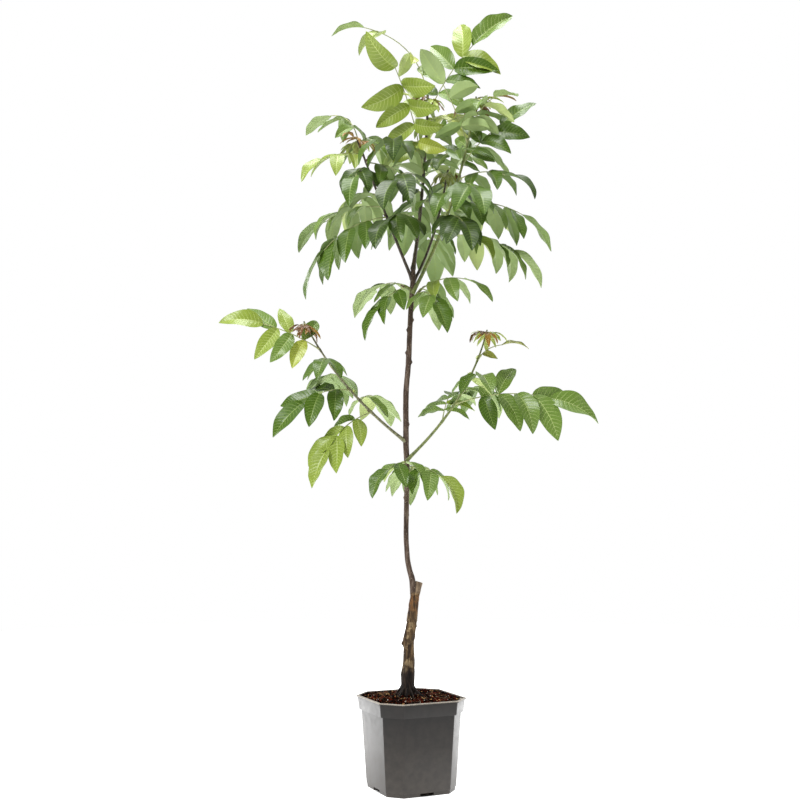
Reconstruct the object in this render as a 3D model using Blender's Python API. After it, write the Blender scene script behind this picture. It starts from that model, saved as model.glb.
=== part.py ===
"""A young grafted walnut tree, about 1.65 m tall, in a square nursery pot with chamfered corners.

Metres and degrees, +Z up. The origin is the centre of the pot's flat underside. +X is the right
of the front view and +Y points away from its viewer, so a heading of 0 is right, 90 is back,
180 is left and 270 is towards the viewer.
"""

import math
import random
from collections import namedtuple

import bmesh
import bpy
from mathutils import Matrix, Quaternion, Vector
from mathutils.bvhtree import BVHTree

# Space that two touching pieces keep between them
GAP = 0.0003

# Pot: a square with its corners cut, turned about the tree's axis
POT_TURN = 24.0
POT_HEIGHT = 0.187
RIM_SIDE, RIM_CUT = 0.198, 0.0375
FOOT_SIDE, FOOT_CUT = 0.157, 0.0274
WALL = 0.0022
FLOOR = 0.0030
LIP_OUT, LIP_HEIGHT = 0.0030, 0.0035
COLLAR_HEIGHT, COLLAR_STEP = 0.029, 0.0076
# Inside, the wall steps out to the collar over this height
STEP_HEIGHT = 0.004
FOOT_STEP = 0.0008
PLINTH_HEIGHT, PLINTH_STEP = 0.0085, 0.0012
DRAIN_WIDTH, DRAIN_HEIGHT, DRAIN_DEPTH = 0.030, 0.0065, 0.012

# Potting soil, filled almost to the rim
SOIL_BELOW_RIM = 0.0045
SOIL_INSET = 0.0012
SOIL_TOP = POT_HEIGHT - SOIL_BELOW_RIM

# Trunk stations from the soil up: height, across, back and thickness.
# The rootstock is thick, with a knot low down, and it ends above the graft in a cut stub.
ROOTSTOCK = (
    (SOIL_TOP + GAP, -0.0070, 0.000, 0.0300),
    (0.205, -0.0066, 0.001, 0.0284),
    (0.230, -0.0062, 0.002, 0.0290),
    (0.251, -0.0045, 0.002, 0.0256),
    (0.279, -0.0042, 0.001, 0.0236),
    (0.297, -0.0050, 0.000, 0.0240),
    (0.314, -0.0024, -0.001, 0.0236),
    (0.345, 0.0026, -0.001, 0.0220),
    (0.384, 0.0072, -0.001, 0.0190),
    (0.406, 0.0130, 0.000, 0.0170),
    (0.421, 0.0175, 0.001, 0.0150),
)
SCION = (
    (0.385, 0.0045, -0.002, 0.0124),
    (0.411, 0.0042, -0.003, 0.0136),
    (0.426, 0.0028, -0.003, 0.0126),
    (0.436, 0.0004, -0.003, 0.0118),
    (0.446, -0.0026, -0.003, 0.0113),
    (0.467, -0.0068, -0.002, 0.0110),
    (0.488, -0.0085, -0.001, 0.0106),
    (0.530, -0.0100, -0.001, 0.0106),
    (0.650, -0.008, 0.002, 0.0116),
    (0.715, -0.010, 0.001, 0.0122),
    (0.817, -0.010, 0.000, 0.0118),
    (0.866, -0.006, 0.000, 0.0116),
    (0.900, -0.004, 0.001, 0.0118),
    (0.991, 0.000, 0.002, 0.0108),
    (1.062, 0.005, 0.000, 0.0112),
    (1.085, 0.005, 0.000, 0.0092),
)
TRUNK_SIDES, TRUNK_STEP = 12, 0.018
# The foot flares by a share of its radius, least between its root lobes
FLARE_LOBES, FLARE_SHARE, FLARE_HEIGHT = 5, 0.20, 0.030
FLARE_LEAST = 0.4
FORK = Vector((0.005, 0.000, 1.085))

# A shoot is one smooth curve from base to tip. Its bough is the part below its first leaf
# (the split, as a share of the whole), and the rest is the stem of its foliage.
Shoot = namedtuple("Shoot", "bough foliage base knee tip split thick thin")
SHOOTS = (
    Shoot("left_bough", "left_foliage", (0.004, 0, 1.062), (-0.044, -0.010, 1.173),
          (-0.115, -0.040, 1.362), 0.45, 0.0072, 0.0036),
    Shoot("leader_bough", "top_foliage", FORK, (0.030, 0.010, 1.250),
          (0.039, 0.030, 1.480), 0.16, 0.0088, 0.0036),
    Shoot("back_bough", "back_foliage", (0.005, 0, 1.057), (0.055, 0.030, 1.145),
          (0.085, 0.100, 1.332), 0.40, 0.0072, 0.0036),
    Shoot("right_bough", "right_foliage", (0.003, 0, 1.033), (0.101, -0.030, 1.203),
          (0.139, -0.060, 1.445), 0.26, 0.0084, 0.0036),
    Shoot("low_left_bough", "low_left_foliage", (-0.010, 0, 0.715), (-0.150, -0.020, 0.820),
          (-0.226, -0.030, 0.968), 0.20, 0.0068, 0.0032),
    Shoot("low_right_bough", "low_right_foliage", (-0.010, 0, 0.675), (0.125, 0, 0.800),
          (0.164, 0.010, 0.956), 0.24, 0.0068, 0.0032),
)
# Spurs are short stems that carry foliage straight on the trunk
SPURS = (
    Shoot(None, "fork_left_foliage", (0.002, 0, 1.040), (-0.006, 0, 1.046),
          (-0.014, -0.003, 1.048), 0, 0.0048, 0.0036),
    Shoot(None, "fork_right_foliage", (0.002, 0, 1.016), (0.012, -0.002, 1.030),
          (0.023, -0.006, 1.042), 0, 0.0048, 0.0036),
    Shoot(None, "under_foliage", (-0.008, 0, 0.640), (0.000, -0.006, 0.655),
          (0.006, -0.014, 0.664), 0, 0.0048, 0.0036),
)
LIMB_SIDES, LIMB_STEP = 8, 0.022
SHARP_FROM = math.radians(40)

# The leaves of each foliage. along is the place on the shoot as a share of its length, heading
# and rise point the stalk from its base to its end, length is the straight distance between
# them, size scales its leaflets, roll turns the blade's plane about the stalk, arch bows the
# stalk upwards and hang says how far the leaflets droop.
Leaf = namedtuple("Leaf", "along heading rise length size roll arch hang")
LEAVES = {
    "left_foliage": (
        (0.51, 190, -30, 0.155, 1.12, 0, 0.6, 1.7),
        (0.58, 158, -8, 0.135, 0.95, 0, 0.5, 0.9),
        (0.64, 112, 8, 0.130, 1.00, 0, 0.6, 0.9),
        (0.72, 50, 38, 0.105, 1.00, 0, 0.5, 0.9),
        (0.80, 255, -20, 0.110, 0.90, 0, 0.7, 1.2),
        (0.86, 340, -25, 0.110, 0.90, 0, 0.4, 1.0),
        (0.90, 215, -15, 0.100, 0.85, -20, 0.5, 0.7),
        (0.95, 75, 25, 0.100, 0.95, 0, 0.6, 0.9),
        (0.98, 140, 42, 0.110, 0.85, 0, 1.0, 0.9),
    ),
    "top_foliage": (
        (0.30, 240, -8, 0.125, 1.00, 0, 0.6, 1.1),
        (0.35, 100, 5, 0.135, 1.00, 0, 0.6, 1.0),
        (0.41, 300, -4, 0.120, 1.00, 0, 0.5, 0.9),
        (0.46, 160, 30, 0.095, 0.95, 0, 0.5, 0.9),
        (0.53, 246, -12, 0.150, 0.95, 0, 0.7, 1.1),
        (0.57, 228, 67, 0.235, 0.92, 200, 0.35, 0.8),
        (0.61, 315, 8, 0.120, 0.95, 15, 0.4, 0.5),
        (0.67, 222, 6, 0.125, 0.95, 0, 0.8, 1.0),
        (0.72, 112, 15, 0.135, 1.00, 0, 0.7, 0.9),
        (0.79, 345, 20, 0.110, 0.95, 0, 0.5, 0.7),
        (0.84, 60, 24, 0.120, 1.00, 0, 0.6, 0.7),
        (0.89, 0, 58, 0.190, 1.05, 70, 0.25, 0.45),
        (0.93, 130, 32, 0.110, 0.90, 0, 0.5, 0.7),
        (0.97, 196, 46, 0.210, 0.70, 0, 1.15, 0.9),
    ),
    "back_foliage": (
        (0.52, 88, -2, 0.150, 1.00, 0, 0.7, 1.1),
        (0.64, 30, 14, 0.120, 1.00, 0, 0.6, 0.9),
        (0.72, 120, 10, 0.150, 1.00, 0, 0.7, 1.0),
        (0.84, 75, 15, 0.150, 1.00, 0, 0.7, 0.8),
        (0.91, 108, 32, 0.120, 0.95, 0, 0.6, 0.7),
        (0.98, 50, 42, 0.130, 0.95, 30, 0.4, 0.4),
    ),
    "right_foliage": (
        (0.33, 12, -8, 0.165, 1.00, 0, 0.5, 1.2),
        (0.40, 285, -12, 0.130, 0.95, 0, 0.6, 1.1),
        (0.49, 4, -6, 0.155, 1.00, 0, 0.6, 1.4),
        (0.55, 284, -10, 0.145, 0.95, 0, 0.6, 1.0),
        (0.62, 330, -3, 0.110, 0.95, 10, 0.6, 0.8),
        (0.69, 0, 47, 0.120, 0.95, 60, 0.25, 0.25),
        (0.74, 68, 15, 0.135, 1.00, 0, 0.6, 0.8),
        (0.79, 226, 55, 0.135, 0.90, 30, 0.2, 0.5),
        (0.86, 300, 24, 0.100, 0.90, 0, 0.6, 0.8),
        (0.93, 5, 40, 0.055, 0.60, 20, 0.6, 0.7),
    ),
    "low_left_foliage": (
        (0.28, 205, -38, 0.125, 0.95, -35, 0.5, 0.9),
        (0.38, 70, 5, 0.110, 1.00, 0, 0.6, 0.9),
        (0.47, 196, -16, 0.105, 1.05, -50, 0.6, 0.6),
        (0.55, 112, 6, 0.120, 1.00, 0, 0.6, 0.9),
        (0.66, 262, 2, 0.090, 0.85, 0, 0.6, 0.9),
        (0.79, 186, 24, 0.132, 0.95, -72, 0.25, 0.6),
    ),
    "low_right_foliage": (
        (0.32, 78, 32, 0.125, 0.90, 0, 0.4, 0.5),
        (0.45, 0, 4, 0.205, 1.06, 65, 0.45, 0.55),
        (0.52, 62, 8, 0.130, 1.00, 0, 0.6, 0.8),
        (0.60, 285, 6, 0.100, 0.90, 0, 0.6, 0.9),
        (0.78, 10, 33, 0.065, 0.70, 20, 0.7, 0.5),
    ),
    "fork_left_foliage": (
        (0.70, 203, -36, 0.075, 0.95, -10, 0.5, 0.9),
        (0.98, 128, 4, 0.105, 1.00, 0, 0.6, 0.9),
    ),
    "fork_right_foliage": (
        (0.60, 295, -20, 0.095, 0.95, 0, 0.6, 0.8),
        (0.82, 75, 0, 0.110, 1.00, 0, 0.6, 0.9),
        (0.98, 335, 8, 0.100, 0.90, 10, 0.6, 1.1),
    ),
    "under_foliage": (
        (0.60, 90, -4, 0.120, 1.00, 0, 0.6, 0.9),
        (0.80, 312, -14, 0.085, 1.00, 0, 0.5, 1.5),
        (0.98, 238, -6, 0.100, 0.90, 0, 0.6, 1.0),
    ),
}
# Each shoot's tip bears a tuft of young leaves
TUFT_LEAFLETS, TUFT_LENGTH = 5, 0.046
TUFT_HANG = (0.3, 1.1)
TUFT_SIZES = (0.75, 1.15)
TUFT_PLACE, TUFT_RISE = 0.985, 0.5
GOLDEN_ANGLE = 137.5

# Leaves have more pairs of leaflets the longer they are
PAIRS_BY_LENGTH = ((0.07, 1), (0.115, 2), (0.16, 3), (1.0, 4))
BARE_STALK = 0.30
LEAFLET_BASE, LEAFLET_GROWTH = 0.076, 0.16
LEAFLET_WIDTH = 0.46
LEAFLET_THICK = 0.024
# A leaflet's two inner sections: place, width, thickness and lift as shares of the full ones
LEAFLET_SECTIONS = ((0.34, 0.94, 1.0, 0.85), (0.66, 0.80, 0.8, 0.90))
LEAFLET_STEM = 0.16
FIRST_PAIR_SIZE = 0.62
PAIR_SHIFT = 0.0018
PAIR_ANGLE_LOW, PAIR_ANGLE_HIGH = 72.0, 48.0
CAMBER = 0.10
# Leaflets turn their upper sides to the sky by this much
TURN_UP = 0.15
STALK_THICK, STALK_THIN = 0.0026, 0.0018
STALK_BOW = 0.35
STALK_SIDES, STALK_STEPS = 3, 4
STEM_SIDES = 6
# How far chance moves a leaflet's angle, its tilt, its hang and its length
WOBBLE, TILT_WOBBLE = 9.0, 13.5
HANG_WOBBLE, END_HANG_WOBBLE, LEAST_HANG = 0.15, 0.10, 0.05
LENGTH_WOBBLE = 0.07
LEAF_CLEAR = 0.0015

BLACK_PLASTIC = ((0.045, 0.043, 0.041), 0.38)
POTTING_SOIL = ((0.045, 0.020, 0.013), 0.95)
OLD_BARK = ((0.115, 0.080, 0.058), 0.85)
YOUNG_BARK = ((0.060, 0.085, 0.025), 0.65)
WALNUT_LEAF = ((0.085, 0.200, 0.030), 0.50)


def material(name, look):
    """A Principled material with a base colour and a roughness."""
    made = bpy.data.materials.new(name)
    made.use_nodes = True
    shader = made.node_tree.nodes["Principled BSDF"]
    colour, rough = look
    shader.inputs["Base Color"].default_value = (*colour, 1.0)
    shader.inputs["Roughness"].default_value = rough
    shader.inputs["Metallic"].default_value = 0.0
    return made


def add_object(name, body, look):
    """Put a finished bmesh into the scene as one named object."""
    bmesh.ops.recalc_face_normals(body, faces=body.faces)
    mesh = bpy.data.meshes.new(name)
    body.to_mesh(mesh)
    body.free()
    thing = bpy.data.objects.new(name, mesh)
    bpy.context.scene.collection.objects.link(thing)
    mesh.materials.append(material(name, look))
    return thing


def loft(rings):
    """Skin a row of rings with faces and close both ends. A ring may be a single point."""
    body = bmesh.new()
    rows = [[body.verts.new(point) for point in ring] for ring in rings]
    for low, high in zip(rows, rows[1:]):
        for i in range(len(low)):
            j = (i + 1) % len(low)
            if len(high) == 1:
                body.faces.new((low[i], low[j], high[0]))
            else:
                body.faces.new((low[i], low[j], high[j], high[i]))
    for row in (rows[0], rows[-1]):
        if len(row) > 2:
            body.faces.new(row)
    bmesh.ops.recalc_face_normals(body, faces=body.faces)
    return body


def modify(thing, kind, name, **settings):
    """Add a modifier with its settings and apply it."""
    change = thing.modifiers.new(name, kind)
    for key, value in settings.items():
        setattr(change, key, value)
    graph = bpy.context.evaluated_depsgraph_get()
    result = bpy.data.meshes.new_from_object(thing.evaluated_get(graph))
    thing.modifiers.clear()
    thing.data = result


def cut_by(thing, cutters, operation="DIFFERENCE"):
    """Cut a piece by each cutter, or join them to it, and remove the cutters."""
    for cutter in cutters:
        modify(thing, "BOOLEAN", "seat", operation=operation, object=cutter, solver="EXACT")
        bpy.data.objects.remove(cutter)


def curve_point(shoot, share):
    """The point at this share of a shoot's curve."""
    base, knee, tip = Vector(shoot.base), Vector(shoot.knee), Vector(shoot.tip)
    return base * (1 - share) ** 2 + knee * 2 * share * (1 - share) + tip * share**2


def thickness(shoot, share):
    return shoot.thick + (shoot.thin - shoot.thick) * share


def smooth_path(stations, step):
    """Points about a step apart on a smooth curve through the stations, each with its radius."""
    path = []
    last = len(stations) - 1
    for i in range(last):
        p0, p1, p2, p3 = (Vector(stations[min(max(k, 0), last)]) for k in range(i - 1, i + 3))
        count = max(1, round((p2[0] - p1[0]) / step))
        for k in range(count):
            t = k / count
            path.append(
                (p1 * 2 + (p2 - p0) * t + (p0 * 2 - p1 * 5 + p2 * 4 - p3) * t**2
                 + (p1 * 3 - p0 - p2 * 3 + p3) * t**3) * 0.5
            )
    path.append(Vector(stations[-1]))
    return [(Vector((p[1], p[2], p[0])), p[3] / 2) for p in path]


def tube_rings(path, sides, start_flat=False):
    """Rings square to a path of points with radii, turned as little as possible along it."""
    rings = []
    side = Vector((1, 0, 0))
    for i, (point, radius) in enumerate(path):
        before, after = path[max(i - 1, 0)][0], path[min(i + 1, len(path) - 1)][0]
        along = (after - before).normalized()
        if i == 0 and start_flat:
            along = Vector((0, 0, 1))
        side = (side - along * side.dot(along)).normalized()
        up = along.cross(side)
        turns = [2 * math.pi * k / sides for k in range(sides)]
        rings.append([point + (side * math.cos(a) + up * math.sin(a)) * radius for a in turns])
    return rings


def fatten(path, extra=GAP):
    """The same path a little thicker and a little longer at its end."""
    (before, _), (end, radius) = path[-2:]
    longer = path[:-1] + [(end + (end - before).normalized() * extra, radius)]
    return [(point, radius + extra) for point, radius in longer]


def octagon(side, cut, height):
    """A square ring with its corners cut, turned as the pot stands."""
    half, inner = side / 2, side / 2 - cut
    corners = [(half, -inner), (half, inner), (inner, half), (-inner, half),
               (-half, inner), (-half, -inner), (-inner, -half), (inner, -half)]
    turn = Matrix.Rotation(math.radians(POT_TURN), 3, "Z")
    return [turn @ Vector((x, y, height)) for x, y in corners]


def wall_ring(height, out=0.0):
    """A ring of the pot's tapering wall, moved out or in by a distance."""
    share = height / POT_HEIGHT
    side = FOOT_SIDE + (RIM_SIDE - FOOT_SIDE) * share
    cut = FOOT_CUT + (RIM_CUT - FOOT_CUT) * share
    # Moving a chamfered square's sides out keeps its short sides square to the diagonal
    return octagon(side + 2 * out, cut + out * (2 - math.sqrt(2)), height)


def make_pot():
    """The pot's shell: plinth, tapering wall, collar and lip outside, plain wall inside."""
    collar_low = POT_HEIGHT - COLLAR_HEIGHT
    lip_low = POT_HEIGHT - LIP_HEIGHT
    rings = [
        wall_ring(0.0, -PLINTH_STEP),
        wall_ring(PLINTH_HEIGHT, -PLINTH_STEP),
        wall_ring(PLINTH_HEIGHT, -FOOT_STEP),
        wall_ring(collar_low, -COLLAR_STEP),
        wall_ring(collar_low, -LIP_OUT),
        wall_ring(lip_low, -LIP_OUT),
        wall_ring(lip_low, 0.0),
        wall_ring(POT_HEIGHT, 0.0),
        wall_ring(POT_HEIGHT, -LIP_OUT - WALL),
        wall_ring(collar_low + STEP_HEIGHT, -LIP_OUT - WALL),
        wall_ring(collar_low, -COLLAR_STEP - WALL),
        wall_ring(FLOOR, -FOOT_STEP - WALL),
    ]
    pot = add_object("pot", loft(rings), BLACK_PLASTIC)
    slots = []
    # Each slot's cutter stands astride the foot's edge, so it is twice as deep and as high
    for quarter in range(4):
        turn = Matrix.Rotation(math.radians(POT_TURN + 90 * quarter), 4, "Z")
        slot = bmesh.new()
        bmesh.ops.create_cube(slot, size=1.0)
        bmesh.ops.scale(slot, vec=(DRAIN_WIDTH, 2 * DRAIN_DEPTH, 2 * DRAIN_HEIGHT), verts=slot.verts)
        bmesh.ops.translate(slot, vec=(0, FOOT_SIDE / 2, 0), verts=slot.verts)
        slot.transform(turn)
        slots.append(add_object("drain_slot", slot, BLACK_PLASTIC))
    cut_by(pot, slots)
    return pot


def make_soil():
    """The potting soil, clear of the pot's inside and flat under the trunk."""
    collar_low = POT_HEIGHT - COLLAR_HEIGHT
    rings = [
        wall_ring(FLOOR + GAP, -FOOT_STEP - WALL - GAP),
        wall_ring(collar_low, -COLLAR_STEP - WALL - GAP),
        wall_ring(collar_low + STEP_HEIGHT, -LIP_OUT - WALL - SOIL_INSET),
        wall_ring(SOIL_TOP, -LIP_OUT - WALL - SOIL_INSET),
    ]
    return add_object("soil", loft(rings), POTTING_SOIL)


def flared(rings, path):
    """Spread the lowest rings into a few root lobes that fade out above the soil."""
    ground = path[0][0].z
    for ring, (centre, _) in zip(rings, path):
        fade = max(0.0, 1 - (centre.z - ground) / FLARE_HEIGHT) ** 2
        for k, point in enumerate(ring):
            lobe = 0.5 + 0.5 * math.cos(FLARE_LOBES * 2 * math.pi * k / len(ring))
            ring[k] = centre + (point - centre) * (1 + FLARE_SHARE * fade * (FLARE_LEAST + lobe))
            ring[k].z = point.z
    return rings


def trunk_solids(extra=0.0):
    """Rootstock and scion joined into one trunk, thicker by extra where it serves as a cutter."""
    solids = []
    for name, stations, foot in (("rootstock", ROOTSTOCK, True), ("scion", SCION, False)):
        path = smooth_path(stations, TRUNK_STEP)
        if extra:
            path = fatten(path, extra)
        rings = tube_rings(path, TRUNK_SIDES, start_flat=foot)
        if foot:
            rings = flared(rings, path)
        solids.append(add_object(name, loft(rings), OLD_BARK))
    trunk, scion = solids
    cut_by(trunk, [scion], "UNION")
    return trunk


def limb_path(shoot, start, end):
    """Points and radii of a shoot between two shares of its length."""
    length = (Vector(shoot.tip) - Vector(shoot.base)).length * (end - start)
    count = max(2, round(length / LIMB_STEP))
    shares = [start + (end - start) * k / count for k in range(count + 1)]
    return [(curve_point(shoot, s), thickness(shoot, s) / 2) for s in shares]


def make_boughs():
    """Each bough runs from the trunk to its first leaf, cut where it meets what carries it."""
    boughs = []
    for shoot in SHOOTS:
        body = loft(tube_rings(limb_path(shoot, 0.0, shoot.split), LIMB_SIDES))
        bough = add_object(shoot.bough, body, YOUNG_BARK)
        cut_by(bough, [trunk_solids(GAP)])
        boughs.append(bough)
    return boughs


def lasting(direction, fallback):
    """A unit vector, or the fallback where the direction has no length."""
    return direction.normalized() if direction.length > 1e-6 else fallback


def leaflet_rings(root, along, face, length, extra=0.0):
    """A leaflet as three-sided rings from a sunk root to its point. face is its upper side."""
    side = along.cross(face).normalized()
    face = side.cross(along)
    half = LEAFLET_WIDTH * length / 2 + extra
    deep = LEAFLET_THICK * length + extra

    def section(share, width, thick, lift):
        centre = root + along * length * share + face * length * lift
        return [centre - side * width, centre + side * width, centre - face * thick]

    stem = STALK_THICK * LEAFLET_STEM + extra
    rings = [section(0.0, stem, stem, 0.0)]
    for share, wide, thick, lift in LEAFLET_SECTIONS:
        rings.append(section(share, half * wide, deep * thick, CAMBER * lift))
    return [*rings, [root + along * (length + extra)]]


def droop(direction, face, amount):
    """Let a leaflet sink from its set direction, turning its face with it."""
    sunk = (direction - Vector((0, 0, amount))).normalized()
    return sunk, direction.rotation_difference(sunk) @ face


def stalk_frame(leaf, base):
    """The leaf stalk's curve as three points, and the direction that its upper side faces."""
    heading, rise = math.radians(leaf.heading), math.radians(leaf.rise)
    chord = Vector((math.cos(heading) * math.cos(rise), math.sin(heading) * math.cos(rise),
                    math.sin(rise)))
    up = lasting(Vector((0, 0, 1)) - chord * chord.z, Vector((1, 0, 0)))
    face = Quaternion(chord, math.radians(leaf.roll)) @ up
    end = base + chord * leaf.length
    knee = base + chord * leaf.length * 0.5 + up * leaf.length * STALK_BOW * leaf.arch
    return Shoot(None, None, base, knee, end, 0, STALK_THICK, STALK_THIN), face


def leaf_plan(leaf, base, rng):
    """Where a leaf's leaflets stand: rows of root, direction, face and length."""
    stalk, face = stalk_frame(leaf, base)
    pairs = next(count for limit, count in PAIRS_BY_LENGTH if leaf.length <= limit)
    full = (LEAFLET_BASE + LEAFLET_GROWTH * leaf.length) * leaf.size
    rows = []
    for i in range(pairs + 1):
        share = BARE_STALK + (1 - BARE_STALK) * i / pairs if i < pairs else 1.0
        root = curve_point(stalk, share)
        along = (curve_point(stalk, share) - curve_point(stalk, share - 0.05)).normalized()
        side = along.cross(face).normalized()
        upper = (side.cross(along) + Vector((0, 0, TURN_UP))).normalized()
        size = full * (FIRST_PAIR_SIZE + (1 - FIRST_PAIR_SIZE) * (i + 1) / (pairs + 1))
        if i == pairs:
            hang = leaf.hang * 0.5 + rng.uniform(-END_HANG_WOBBLE, END_HANG_WOBBLE)
            rows.append((root, *droop(along, upper, hang), full))
            break
        open_to = PAIR_ANGLE_LOW + (PAIR_ANGLE_HIGH - PAIR_ANGLE_LOW) * i / max(pairs - 1, 1)
        for hand in (-1, 1):
            spot = root + along * PAIR_SHIFT * hand
            angle = math.radians(open_to + rng.uniform(-WOBBLE, WOBBLE))
            out = along * math.cos(angle) + side * hand * math.sin(angle)
            tilt = Quaternion(out, math.radians(rng.uniform(-TILT_WOBBLE, TILT_WOBBLE)))
            hang = max(LEAST_HANG, leaf.hang + rng.uniform(-HANG_WOBBLE, HANG_WOBBLE))
            length = size * (1 + rng.uniform(-LENGTH_WOBBLE, LENGTH_WOBBLE))
            rows.append((spot, *droop(out, tilt @ upper, hang), length))
    return stalk, rows


def tuft_plan(shoot, rng):
    """The young leaflets at a shoot's tip, hanging round it like a small umbrella."""
    rows = []
    first = rng.uniform(0, 360)
    for i in range(TUFT_LEAFLETS):
        heading = math.radians(first + GOLDEN_ANGLE * i)
        out = Vector((math.cos(heading), math.sin(heading), TUFT_RISE)).normalized()
        hang = rng.uniform(*TUFT_HANG)
        face = lasting(Vector((0, 0, 1)) - out * out.z, Vector((1, 0, 0)))
        length = TUFT_LENGTH * rng.uniform(*TUFT_SIZES)
        root = curve_point(shoot, TUFT_PLACE)
        rows.append((root, *droop(out, face, hang), length))
    return rows


def touches(rings, obstacles):
    """Whether a lofted shape meets any obstacle."""
    body = loft(rings)
    tree = BVHTree.FromBMesh(body)
    body.free()
    return any(tree.overlap(other) for other in obstacles)


def leaf_shapes(stalk, leaflets, obstacles):
    """Rings of a leaf's stalk and leaflets, leaving out those that would meet an obstacle."""
    shapes = []
    if stalk:
        steps = [k / STALK_STEPS for k in range(STALK_STEPS + 1)]
        path = [(curve_point(stalk, s), thickness(stalk, s) / 2) for s in steps]
        shapes.append(tube_rings(path, STALK_SIDES))
        if touches(shapes[0], obstacles):
            return []
    for leaflet in leaflets:
        if not touches(leaflet_rings(*leaflet, LEAF_CLEAR), obstacles):
            shapes.append(leaflet_rings(*leaflet))
    return shapes


def fuse(thing, shapes):
    """Join lofted shapes to a piece in one Boolean union, and return a search tree of each."""
    group = bpy.data.collections.new(thing.name + "_parts")
    bpy.context.scene.collection.children.link(group)
    trees = []
    for rings in shapes:
        body = loft(rings)
        trees.append(BVHTree.FromBMesh(body))
        mesh = bpy.data.meshes.new("shape")
        body.to_mesh(mesh)
        body.free()
        group.objects.link(bpy.data.objects.new("shape", mesh))
    modify(thing, "BOOLEAN", "join", operation="UNION", operand_type="COLLECTION",
           collection=group, solver="EXACT")
    for shape in list(group.objects):
        bpy.data.objects.remove(shape)
    bpy.data.collections.remove(group)
    return trees


def keep_one_body(thing):
    """Keep the main body of a joined mass: sealed hollows are filled and scraps dropped."""
    body = bmesh.new()
    body.from_mesh(thing.data)
    unseen = set(body.verts)
    islands = []
    while unseen:
        island, edge = set(), {unseen.pop()}
        while edge:
            vert = edge.pop()
            island.add(vert)
            edge |= {e.other_vert(vert) for e in vert.link_edges} - island
        unseen -= island
        islands.append(island)
    islands.sort(key=len)
    for island in islands[:-1]:
        bmesh.ops.delete(body, geom=list(island), context="VERTS")
    bmesh.ops.triangulate(body, faces=body.faces)
    body.to_mesh(thing.data)
    body.free()


def foliage_stem(shoot):
    """The stem that carries a foliage's leaves, clear of its bough's tip or of the trunk."""
    path = limb_path(shoot, shoot.split, 1.0)
    if shoot.bough:
        (start, radius), (after, _) = path[:2]
        path[0] = (start + (after - start).normalized() * GAP, radius)
    stem = add_object(shoot.foliage, loft(tube_rings(path, STEM_SIDES)), WALNUT_LEAF)
    if not shoot.bough:
        cut_by(stem, [trunk_solids(GAP)])
    return stem


def make_foliage(shoot, obstacles):
    """A shoot's stem with its leaves fused on. The result is a search tree of each shape."""
    rng = random.Random(shoot.foliage)
    plans = []
    for row in LEAVES[shoot.foliage]:
        leaf = Leaf(*row)
        plans.append(leaf_plan(leaf, curve_point(shoot, leaf.along), rng))
    if shoot.bough:
        plans.append((None, tuft_plan(shoot, rng)))
    shapes = []
    for number, (stalk, leaflets) in enumerate(plans):
        found = leaf_shapes(stalk, leaflets, obstacles)
        shapes += found
        missing = len(leaflets) + bool(stalk) - len(found)
        if missing:
            print(shoot.foliage, "leaf", number, "left out", missing, "of", len(leaflets))
    stem = foliage_stem(shoot)
    trees = fuse(stem, shapes)
    keep_one_body(stem)
    print(shoot.foliage, "triangles", len(stem.data.polygons))
    return trees


def stem_tree(shoot):
    """A search tree of a foliage's stem, a little thicker than it is."""
    body = loft(tube_rings(fatten(limb_path(shoot, shoot.split, 1.0)), STEM_SIDES))
    tree = BVHTree.FromBMesh(body)
    body.free()
    return tree


def mesh_tree(thing):
    """A search tree of an object's faces."""
    body = bmesh.new()
    body.from_mesh(thing.data)
    tree = BVHTree.FromBMesh(body)
    body.free()
    return tree


def main():
    for thing in list(bpy.data.objects):
        bpy.data.objects.remove(thing)
    make_pot()
    make_soil()
    trunk = trunk_solids()
    trunk.name = "trunk"
    limbs = [trunk, *make_boughs()]
    for limb in limbs:
        limb.data.shade_smooth()
        limb.data.set_sharp_from_angle(angle=SHARP_FROM)
    shoots = SHOOTS + SPURS
    taken = [mesh_tree(limb) for limb in limbs]
    stems = {shoot.foliage: stem_tree(shoot) for shoot in shoots}
    for shoot in shoots:
        others = [tree for name, tree in stems.items() if name != shoot.foliage]
        taken += make_foliage(shoot, taken + others)


main()
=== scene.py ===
# %% [markdown]
# # A young walnut tree in a nursery pot
# This lesson dresses the plain solids of a grafted walnut tree: a moulded pot, potting mix, a
# trunk with bark, green shoots, and long leaves made of many leaflets. Every size and place comes
# from the solids. Lengths are metres, +Z is up, +X is the right of the front view, +Y points away
# from its viewer, and the origin is the centre of the pot's flat underside.

# %% Load the solids
import math
import random
from collections import namedtuple

import bmesh
import bpy
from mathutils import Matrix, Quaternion, Vector, noise
from mathutils.bvhtree import BVHTree


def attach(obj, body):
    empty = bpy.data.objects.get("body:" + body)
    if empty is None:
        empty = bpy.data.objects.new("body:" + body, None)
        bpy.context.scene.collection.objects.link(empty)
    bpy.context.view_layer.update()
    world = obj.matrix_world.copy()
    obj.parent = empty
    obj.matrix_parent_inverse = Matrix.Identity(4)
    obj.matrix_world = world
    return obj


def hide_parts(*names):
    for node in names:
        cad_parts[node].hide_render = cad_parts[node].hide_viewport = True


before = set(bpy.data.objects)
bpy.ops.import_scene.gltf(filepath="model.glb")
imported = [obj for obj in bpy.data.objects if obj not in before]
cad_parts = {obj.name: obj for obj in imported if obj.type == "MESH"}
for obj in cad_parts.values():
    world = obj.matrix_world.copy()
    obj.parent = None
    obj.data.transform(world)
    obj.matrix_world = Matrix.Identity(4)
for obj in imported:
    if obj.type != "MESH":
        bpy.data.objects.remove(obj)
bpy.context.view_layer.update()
print("solids:", ", ".join(sorted(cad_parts)))

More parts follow.
